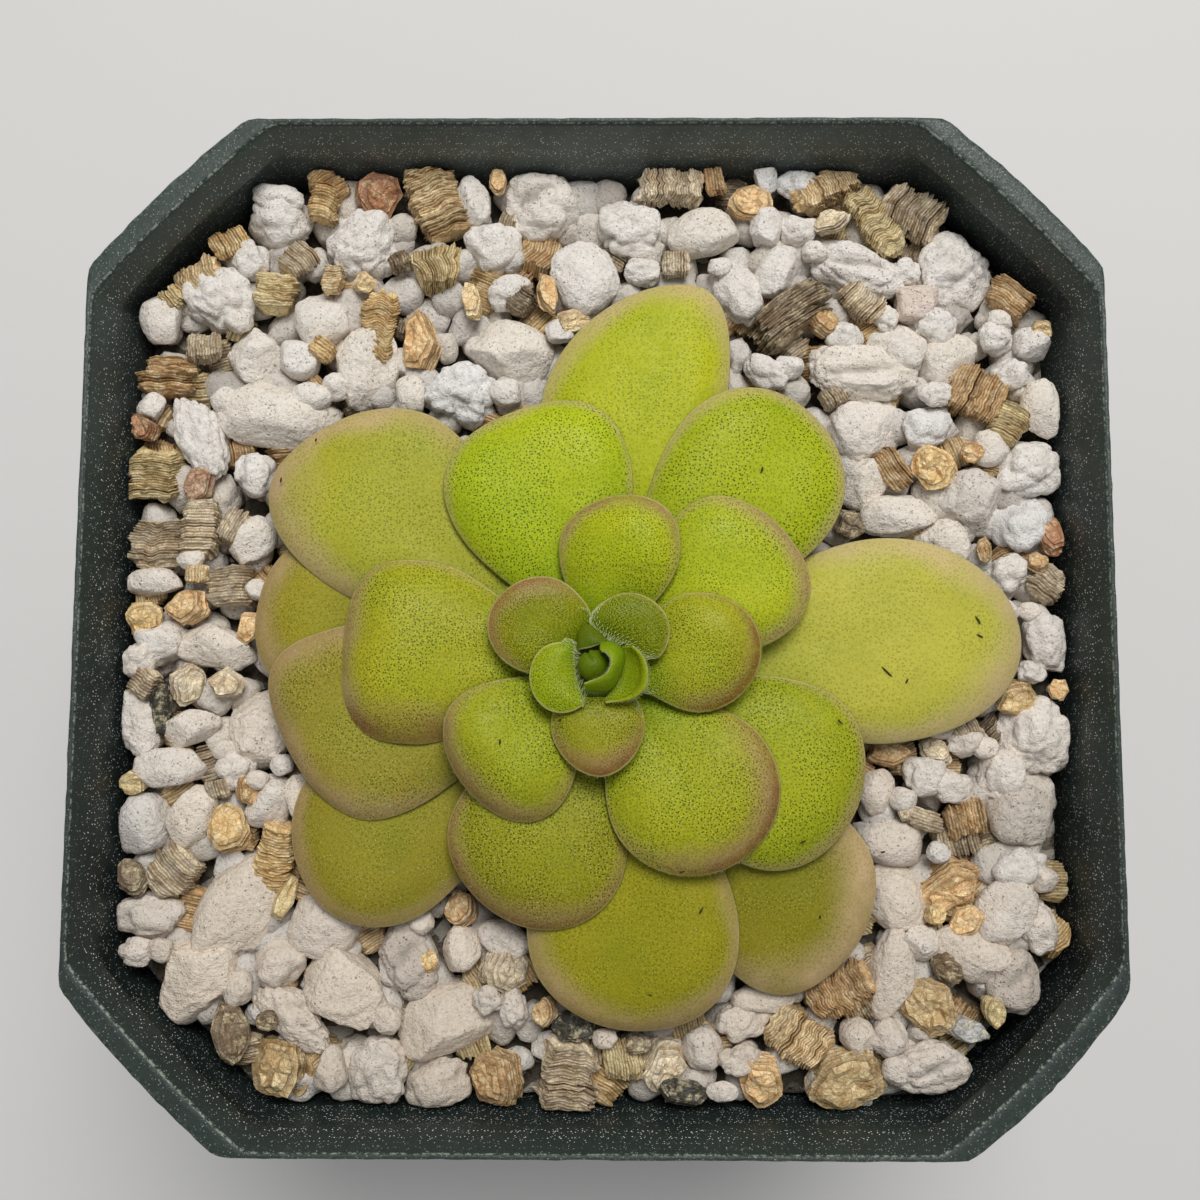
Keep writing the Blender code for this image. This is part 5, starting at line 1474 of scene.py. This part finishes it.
# ---------------------------------------------------------------- build: grains
chalk, mica = perlite_look(), vermiculite_look()
STONE = 0.0766         # millimetres for a pixel at the level of the mix
loose_p, small_p, loose_v = Heap(), Heap(), Heap()
placed = []
rng = np.random.default_rng(3)
for i, row in enumerate(PERLITE):
    u, v, w, hgt, turn, form, tint = row[:7]
    node = row[7] if len(row) > 7 else None
    a, b_ = w * STONE, hgt * STONE
    h = min(a, b_) * rng.uniform(0.80, 0.95)
    r = max(a, b_) / 2
    x, y = land(u, v, TOP_LEVEL - 0.8)
    x, y = keep_inside(x, y, 0.82 * min(a, b_) / 2)
    level = 5 if w * hgt > 4000 else 4
    p, faces, crease = perlite_body(a, b_, h, form, 100 + i, level)
    p = turned(p, turn, rng.uniform(-8, 8), rng.uniform(-8, 8))
    dz = 0.0 if node else rng.uniform(-0.45, 0.05)
    p = against_wall(p + np.array([x, y, TOP_LEVEL + dz - p[:, 2].max()]))
    # painted light: perlite towards the back is tinted brighter and whiter, and warmer in front, as the light falls
    # from the back
    far = float(smooth(y, -32, 20))
    base = np.array(TINTS[tint]) * rng.uniform(0.94, 1.05) * (np.array((1.04, 0.985, 0.925)) * (1 - far) + 1.26 * far)
    base = base * min(1.0, 0.95 / base.max())
    pit = {"k": 0.7, "s": 0.8, "c": 0.9, "h": 1.0}[form] * (1.5 if tint == "g" else 1.0)
    placed.append((x, y, r))
    if node:
        ob = make(node + "_grain", p, faces, chalk, True,
                  {"crease": crease, "pitted": np.full(len(p), pit)}, {"tint": np.tile(base, (len(p), 1))})
        carry(ob, "perlite", node)
    else:
        (loose_p if level == 5 else small_p).add(p, faces, base, crease=crease, pitted=pit)
for i, row in enumerate(VERMICULITE):
    u, v, w, hgt, turn, form, tint = row[:7]
    node = row[7] if len(row) > 7 else None
    a, b_ = w * STONE, hgt * STONE
    h = min(max(a, b_) * 0.8, b_ * rng.uniform(0.80, 0.95) if b_ < 1.4 * a else a)
    x, y = land(u, v, TOP_LEVEL - 0.8)
    x, y = keep_inside(x, y, 0.82 * min(a, b_) / 2)
    p, faces, slot, tone = mica_body(a, b_, h, form, 400 + i, 30 if w * hgt > 3000 else 20)
    p = turned(p, turn, rng.uniform(-10, 10), rng.uniform(-8, 8))
    dz = 0.0 if node else rng.uniform(-0.35, 0.10)
    p = against_wall(p + np.array([x, y, TOP_LEVEL + dz - p[:, 2].max()]))
    base = np.array(TINTS[tint])
    tints = base[None, :] * tone[:, None]
    placed.append((x, y, max(a, b_) / 2))
    if node:
        ob = make(node + "_grain", p, faces, mica, False, {"slot": slot}, {"tint": tints})
        carry(ob, "vermiculite", node)
    else:
        loose_v.add(p, faces, tints, slot=slot)
carry(loose_p.piece("perlite_loose_large", chalk), "perlite")
carry(small_p.piece("perlite_loose_small", chalk), "perlite")
carry(loose_v.piece("vermiculite_loose", mica, False), "vermiculite")

# smaller grains that fill the gaps, lower down
rng = np.random.default_rng(8)
under_p, under_v = Heap(), Heap()
step = 3.0
k = 0
for i in range(-13, 14):
    for j in range(-13, 14):
        k += 1
        x = (i + 0.5 * (j % 2)) * step + rng.uniform(-0.8, 0.8)
        y = j * step * 0.9 + rng.uniform(-0.8, 0.8)
        size = rng.uniform(2.6, 4.2)
        kind, form, tint = rng.random(), rng.choice(list("kksc")), rng.choice(list("wwhhcg"))
        mt = rng.choice(["gold", "brown", "tan", "dark", "olive", "grey", "orange"])
        dz, turn, squash = rng.uniform(-0.9, 0.0), rng.uniform(0, 180), rng.uniform(0.7, 1.0)
        if abs(x) > 35.6 or abs(y) > 35.6 or abs(x) + abs(y) > 59.5 or math.hypot(x - CX, y - CY) < 12.5:
            continue
        x, y = keep_inside(x, y, size * 0.42)
        top_z = TOP_LEVEL - 1.25 + dz
        if kind < 0.74:
            p, faces, crease = perlite_body(size, size * squash, size * 0.8, form, 900 + k, 3)
            p = turned(p, turn, rng.uniform(-20, 20), 0)
            p = against_wall(p + np.array([x, y, top_z - p[:, 2].max()]))
            under_p.add(p, faces, np.array(TINTS[tint]) * rng.uniform(0.88, 1.0), crease=crease, pitted=0.8)
        else:
            p, faces, slot, tone = mica_body(size * 0.9, size * squash, size * 0.7, "a", 900 + k, 9)
            p = turned(p, turn, rng.uniform(-25, 25), 0)
            p = against_wall(p + np.array([x, y, top_z - p[:, 2].max()]))
            under_v.add(p, faces, np.array(TINTS[mt])[None, :] * tone[:, None] * 0.85, slot=slot)
carry(under_p.piece("perlite_lower", chalk), "perlite")
carry(under_v.piece("vermiculite_lower", mica, False), "vermiculite")

# ---------------------------------------------------------------- build: the bed


def bed():
    n = 110
    side, leg = inset(wall_side(MIX_TOP - 6), wall_leg(MIX_TOP - 6), WALL + 0.1)
    half = side / 2
    g = np.linspace(-1, 1, n + 1)
    U, V = np.meshgrid(g, g, indexing="ij")
    m = np.maximum(np.abs(U), np.abs(V))
    k = np.minimum(1.0, (2 - leg / half) / np.maximum(1e-6, (np.abs(U) + np.abs(V)) / np.maximum(m, 1e-6)))
    x, y = (U * half * k).ravel(), (V * half * k).ravel()
    q = np.c_[x, y, np.zeros(len(x))]
    z = MIX_TOP - 2.6 + 0.5 * noise(0.25 * q, 40) + 0.9 * (0.5 - cells(0.42 * q, 41)) + 0.15 * noise(1.9 * q, 42)
    near = 1 - smooth(np.hypot(x - CX, y - CY), 2.6, 6.5)
    z = z - 1.0 * near
    top = np.c_[x, y, z]
    ring = ([(i, 0) for i in range(n)] + [(n, j) for j in range(n)]
            + [(i, n) for i in range(n, 0, -1)] + [(0, j) for j in range(n, 0, -1)])
    ids = np.array([i * (n + 1) + j for i, j in ring])
    verts = [top]
    z_low = FOOT + FLOOR + 0.25
    bs, _ = inset(wall_side(z_low), wall_leg(z_low), WALL + 1.2)
    loops, count = [ids], len(top)
    for f in (0.35, 0.7, 1.0):
        low = top[ids].copy()
        low[:, :2] *= 1 + (bs / side - 1) * f
        low[:, 2] = top[ids][:, 2] * (1 - f) + z_low * f
        verts.append(low)
        loops.append(np.arange(count, count + len(ids)))
        count += len(ids)
    faces = []
    for i in range(n):
        for j in range(n):
            a = i * (n + 1) + j
            faces.append((a, a + n + 1, a + n + 2, a + 1))
    r = len(ids)
    for lo, hi in zip(loops, loops[1:]):
        for i in range(r):
            j = (i + 1) % r
            faces.append((int(lo[i]), int(hi[i]), int(hi[j]), int(lo[j])))
    faces.append(tuple(int(i) for i in reversed(loops[-1])))
    return np.concatenate(verts), faces


verts, faces = bed()
carry(make("mix_bed", verts, faces, bed_look()), "potting_mix", "substrate")

# ---------------------------------------------------------------- build: the pot


def ring_of(side, leg, z, bow=0.0, rough=0.0, seed=0, per_side=64, per_corner=26):
    """A finely divided chamfered square; its chamfers bow outward a little."""
    a, b = side / 2, side / 2 - leg
    pts = []
    corners = [(a, -b), (a, b), (b, a), (-b, a), (-a, b), (-a, -b), (-b, -a), (b, -a)]
    for c in range(8):
        p, q = np.array(corners[c]), np.array(corners[(c + 1) % 8])
        slant = c % 2 == 1
        n = per_corner if slant else per_side
        out = (p + q) / np.linalg.norm(p + q) if slant else np.array([0.0, 0.0])
        # the front right corner bulges most
        swell = bow * (1.9 if out[0] > 0.1 > out[1] else 1.0)
        for i in range(n):
            u = i / n
            pts.append(p + (q - p) * u + out * swell * math.sin(math.pi * u) ** 0.8)
    pts = np.array(pts)
    # round the eight corners of the outline
    m = len(pts)
    pts = 0.25 * np.roll(pts, 1, 0) + 0.5 * pts + 0.25 * np.roll(pts, -1, 0)
    zs = np.full(m, float(z))
    if rough:
        q = np.c_[pts, zs]
        nrm = pts / np.linalg.norm(pts, axis=1, keepdims=True)
        pts = pts + nrm * (rough * 0.5 * noise(1.3 * q, 70 + seed) + rough * 0.5 * noise(4.0 * q, 71 + seed))[:, None]
        zs = zs + rough * 0.7 * noise(1.1 * q, 72 + seed) + rough * 0.5 * noise(3.5 * q, 73 + seed)
    return np.c_[pts, zs]


def pot():
    z1 = RIM - BAND_HEIGHT
    B = 0.40
    prof = []          # side, leg, z, bow, roughness, lip, arris

    def add(side, leg, z, bow=B, rough=0.0, lip=0.0, arris=0.0):
        prof.append((side, leg, z, bow, rough, lip, arris))

    add(BASE_SIDE - 5.4, BASE_CHAMFER - 1.4, FOOT, 0.3)
    add(BASE_SIDE - 5.1, BASE_CHAMFER - 1.4, 0.12, 0.3)
    add(BASE_SIDE - 4.8, BASE_CHAMFER - 1.35, 0.0, 0.3)
    add(BASE_SIDE - 1.4, BASE_CHAMFER - 0.2, 0.0, 0.3)
    add(BASE_SIDE - 0.5, BASE_CHAMFER - 0.1, 0.12, 0.3)
    add(BASE_SIDE, BASE_CHAMFER, 0.6, 0.3)
    for z in (6, 16, 28, 40, 52, z1 - 0.6):
        add(wall_side(z), wall_leg(z), z, 0.3 + 0.45 * z / z1)
    add(wall_side(z1) + 0.05, wall_leg(z1), z1, B)
    add(RIM_SIDE - 1.35, RIM_CHAMFER - 0.2, z1 + 0.35, B)
    add(RIM_SIDE - 1.15, RIM_CHAMFER - 0.2, z1 + 0.9, B)
    add(RIM_SIDE - 0.85, RIM_CHAMFER - 0.15, z1 + 5.0, B)
    add(RIM_SIDE - 0.55, RIM_CHAMFER - 0.1, RIM - 1.2, B, 0.0, 0.2)
    add(RIM_SIDE - 0.30, RIM_CHAMFER - 0.05, RIM - 0.65, B, 0.02, 0.5)
    add(RIM_SIDE - 0.06, RIM_CHAMFER, RIM - 0.34, B, 0.07, 0.9)
    add(RIM_SIDE - 0.04, RIM_CHAMFER, RIM - 0.13, B, 0.09, 1.0, 0.15)
    add(RIM_SIDE - 0.14, RIM_CHAMFER + 0.05, RIM - 0.05, B, 0.06, 1.0, 0.2)
    add(RIM_SIDE - 0.30, RIM_CHAMFER + 0.35, RIM - 0.04, B, 0.02, 1.0)
    add(RIM_SIDE - 0.50, LEDGE_CHAMFER - 0.45, RIM - 0.06, B, 0.01, 0.95)
    add(RIM_SIDE - 0.68, LEDGE_CHAMFER - 0.07, RIM - 0.08, B, 0.01, 0.85, 0.0)
    add(RIM_SIDE - 0.75, LEDGE_CHAMFER - 0.03, RIM - 0.13, B, 0.01, 0.85, 0.95)
    add(RIM_SIDE - 0.81, LEDGE_CHAMFER + 0.00, RIM - 0.20, B, 0.01, 0.8, 0.75)
    add(RIM_SIDE - 0.88, LEDGE_CHAMFER - 0.01, RIM - 0.28, B, 0.01, 0.72, 0.0)
    add(RIM_SIDE - 1.10, LEDGE_CHAMFER - 0.06, RIM - 0.50, B, 0.0, 0.62, 0.0)
    add(RIM_SIDE - 1.55, LEDGE_CHAMFER - 0.20, RIM - 1.05, B, 0.0, 0.45)
    add(RIM_SIDE - 2.10, LEDGE_CHAMFER - 0.38, RIM - 1.75, B, 0.0, 0.25)
    add(RIM_SIDE - 2.60, LEDGE_CHAMFER - 0.50, RIM - 2.5, B, 0.0, 0.08)
    s, l = inset(wall_side(z1), wall_leg(z1), WALL)
    add(s + 0.95, l + 0.9, RIM - 4.0, B)
    add(s + 0.55, l + 0.6, RIM - 6.0, B)
    add(s + 0.12, l + 0.2, z1 + 1.5, B)
    for z in (z1, 48, 32, 16, FOOT + FLOOR + 1.5):
        ws, wl = inset(wall_side(z), wall_leg(z), WALL)
        add(ws, wl, z, 0.3 + 0.45 * z / z1)
    ws, wl = inset(wall_side(FOOT + FLOOR), wall_leg(FOOT + FLOOR), WALL + 0.3)
    add(ws, wl, FOOT + FLOOR + 0.35, 0.3)
    ws, wl = inset(wall_side(FOOT + FLOOR), wall_leg(FOOT + FLOOR), WALL + 1.0)
    add(ws, wl, FOOT + FLOOR, 0.3)
    loops, lip, arris, wall_light_and_haze, dust = [], [], [], [], []
    within = False
    for i, (side, leg, z, bow, rough, lp, ar) in enumerate(prof):
        loop = ring_of(side, leg, z, bow, rough, 0)
        within = within or (z < RIM and lp == 0.62)
        loops.append(loop)
        back = loop[:, 1] / np.hypot(loop[:, 0], loop[:, 1])
        # lip: painted sheen along the rim, stronger at the back
        lip.append(lp * (0.55 + 0.45 * smooth(back, -0.7, 0.5)))
        arris.append(np.full(len(loop), ar))
        # dust settles on the inner walls, less on the lip and on the outside
        dust.append(np.full(len(loop), 1.0 - 0.7 * float(smooth(lp, 0.1, 0.6)) if within or lp == 0.62 else 0.25))
        # painted light on the inner walls, strongest at the back
        wall_light_and_haze.append(np.clip(0.06 + 0.94 * back, 0, 1) ** 2.4 * (1.0 if within else 0.0))
    m = len(loops[0])
    faces = [tuple(reversed(range(m)))]
    for i in range(len(loops) - 1):
        for j in range(m):
            q = (j + 1) % m
            faces.append((i * m + j, i * m + q, (i + 1) * m + q, (i + 1) * m + j))
    faces.append(tuple(range((len(loops) - 1) * m, len(loops) * m)))
    return np.concatenate(loops), faces, [np.concatenate(q) for q in (lip, arris, wall_light_and_haze, dust)]


verts, faces, (lip, arris, wall_light_and_haze, dust) = pot()
plastic = plastic_look()
shell = make("pot_shell", verts, faces, plastic, True,
             {"lip": lip, "arris": arris, "wall_light_and_haze": wall_light_and_haze, "dust": dust})
cutters = []
for i, (x, y) in enumerate([(0, 0)] + [(sx * DRAIN_XY, sy * DRAIN_XY) for sx in (-1, 1) for sy in (-1, 1)]):
    bm = bmesh.new()
    bmesh.ops.create_cone(bm, cap_ends=True, segments=40, radius1=DRAIN_R * MM, radius2=DRAIN_R * MM, depth=8 * MM)
    me = bpy.data.meshes.new("drain_cut")
    bm.to_mesh(me)
    bm.free()
    cut = bpy.data.objects.new("drain_cut_%d" % i, me)
    bpy.context.collection.objects.link(cut)
    cut.location = (x * MM, y * MM, 1.6 * MM)
    mod = shell.modifiers.new("drain_%d" % i, "BOOLEAN")
    mod.operation, mod.object = "DIFFERENCE", cut
    cutters.append(cut)
bpy.context.view_layer.update()
cut_mesh = bpy.data.meshes.new_from_object(shell.evaluated_get(bpy.context.evaluated_depsgraph_get()))
shell.modifiers.clear()
shell.data = cut_mesh
for cut in cutters:
    bpy.data.objects.remove(cut, do_unlink=True)
carry(shell, "pot_plastic", "pot")

# ---------------------------------------------------------------- the stem


def stem_body():
    """The short stem, tapered into the mix, with a low green crown on which the
    youngest leaves sit."""
    prof = [(0.4, RIM - 17), (1.1, RIM - 14), (1.7, RIM - 10), (2.0, RIM - 7), (2.0, RIM - 1.5), (1.75, RIM - 0.3),
            (1.9, RIM + 1.0), (2.35, RIM + 1.9), (2.45, RIM + 2.2), (2.1, RIM + 2.36), (1.5, RIM + 2.40),
            (0.9, RIM + 2.42), (0.3, RIM + 2.43)]
    n = 48
    loops = []
    for r, z in prof:
        a = 2 * math.pi * np.arange(n) / n
        q = np.c_[np.cos(a) * 1.3, np.sin(a) * 1.3, np.full(n, z * 0.35)]
        rr = r * (1 + 0.07 * noise(q, 51) + 0.03 * noise(2.7 * q, 52))
        loops.append(np.c_[CX + rr * np.cos(a), CY + rr * np.sin(a), z + 0.05 * noise(2 * q, 53)])
    m = len(loops)
    faces = [tuple(reversed(range(n)))]
    for i in range(m - 1):
        for j in range(n):
            k = (j + 1) % n
            faces.append((i * n + j, i * n + k, (i + 1) * n + k, (i + 1) * n + j))
    faces.append(tuple(range((m - 1) * n, m * n)))
    return np.concatenate(loops), faces


verts, faces = stem_body()
carry(make("stem_crown", verts, faces, stem_look()), "stem", "stem")
# ---------------------------------------------------------------- floor, light, camera
bm = bmesh.new()
bmesh.ops.create_grid(bm, x_segments=8, y_segments=8, size=1.5)
me = bpy.data.meshes.new("floor")
bm.to_mesh(me)
bm.free()
me.materials.append(floor_look())
floor = bpy.data.objects.new("floor", me)
bpy.context.collection.objects.link(floor)

scene = bpy.context.scene
world = bpy.data.worlds.new("pale_room")
world.use_nodes = True
bg = world.node_tree.nodes["Background"]
bg.inputs["Color"].default_value = (0.97, 0.98, 1.0, 1.0)
bg.inputs["Strength"].default_value = 0.31
scene.world = world


def lamp(name, place, aim, size, power, tint):
    data = bpy.data.lights.new(name, "AREA")
    data.shape = "DISK"
    data.size, data.energy, data.color = size, power, tint
    ob = bpy.data.objects.new(name, data)
    bpy.context.collection.objects.link(ob)
    ob.location = place
    d = np.array(aim) - np.array(place)
    d /= np.linalg.norm(d)
    ob.rotation_euler = (math.acos(-d[2]), 0.0, math.atan2(-d[0], d[1]) if abs(d[2]) < 0.9999 else 0.0)
    return ob


lamp("key", (0.05, 0.20, 0.47), (0.0, 0.0, 0.07), 0.24, 1.65, (1.0, 0.985, 0.96))
scene.view_settings.view_transform = "Standard"

cam = bpy.data.cameras.new("camera")
cam.lens, cam.sensor_width = FOCAL / 1200 * 36.0, 36.0
cam.clip_start, cam.clip_end = 0.005, 10.0
cam_ob = bpy.data.objects.new("camera", cam)
cam_ob.location = tuple(EYE * MM)
cam_ob.rotation_euler = TURNS
bpy.context.collection.objects.link(cam_ob)
scene.camera = cam_ob
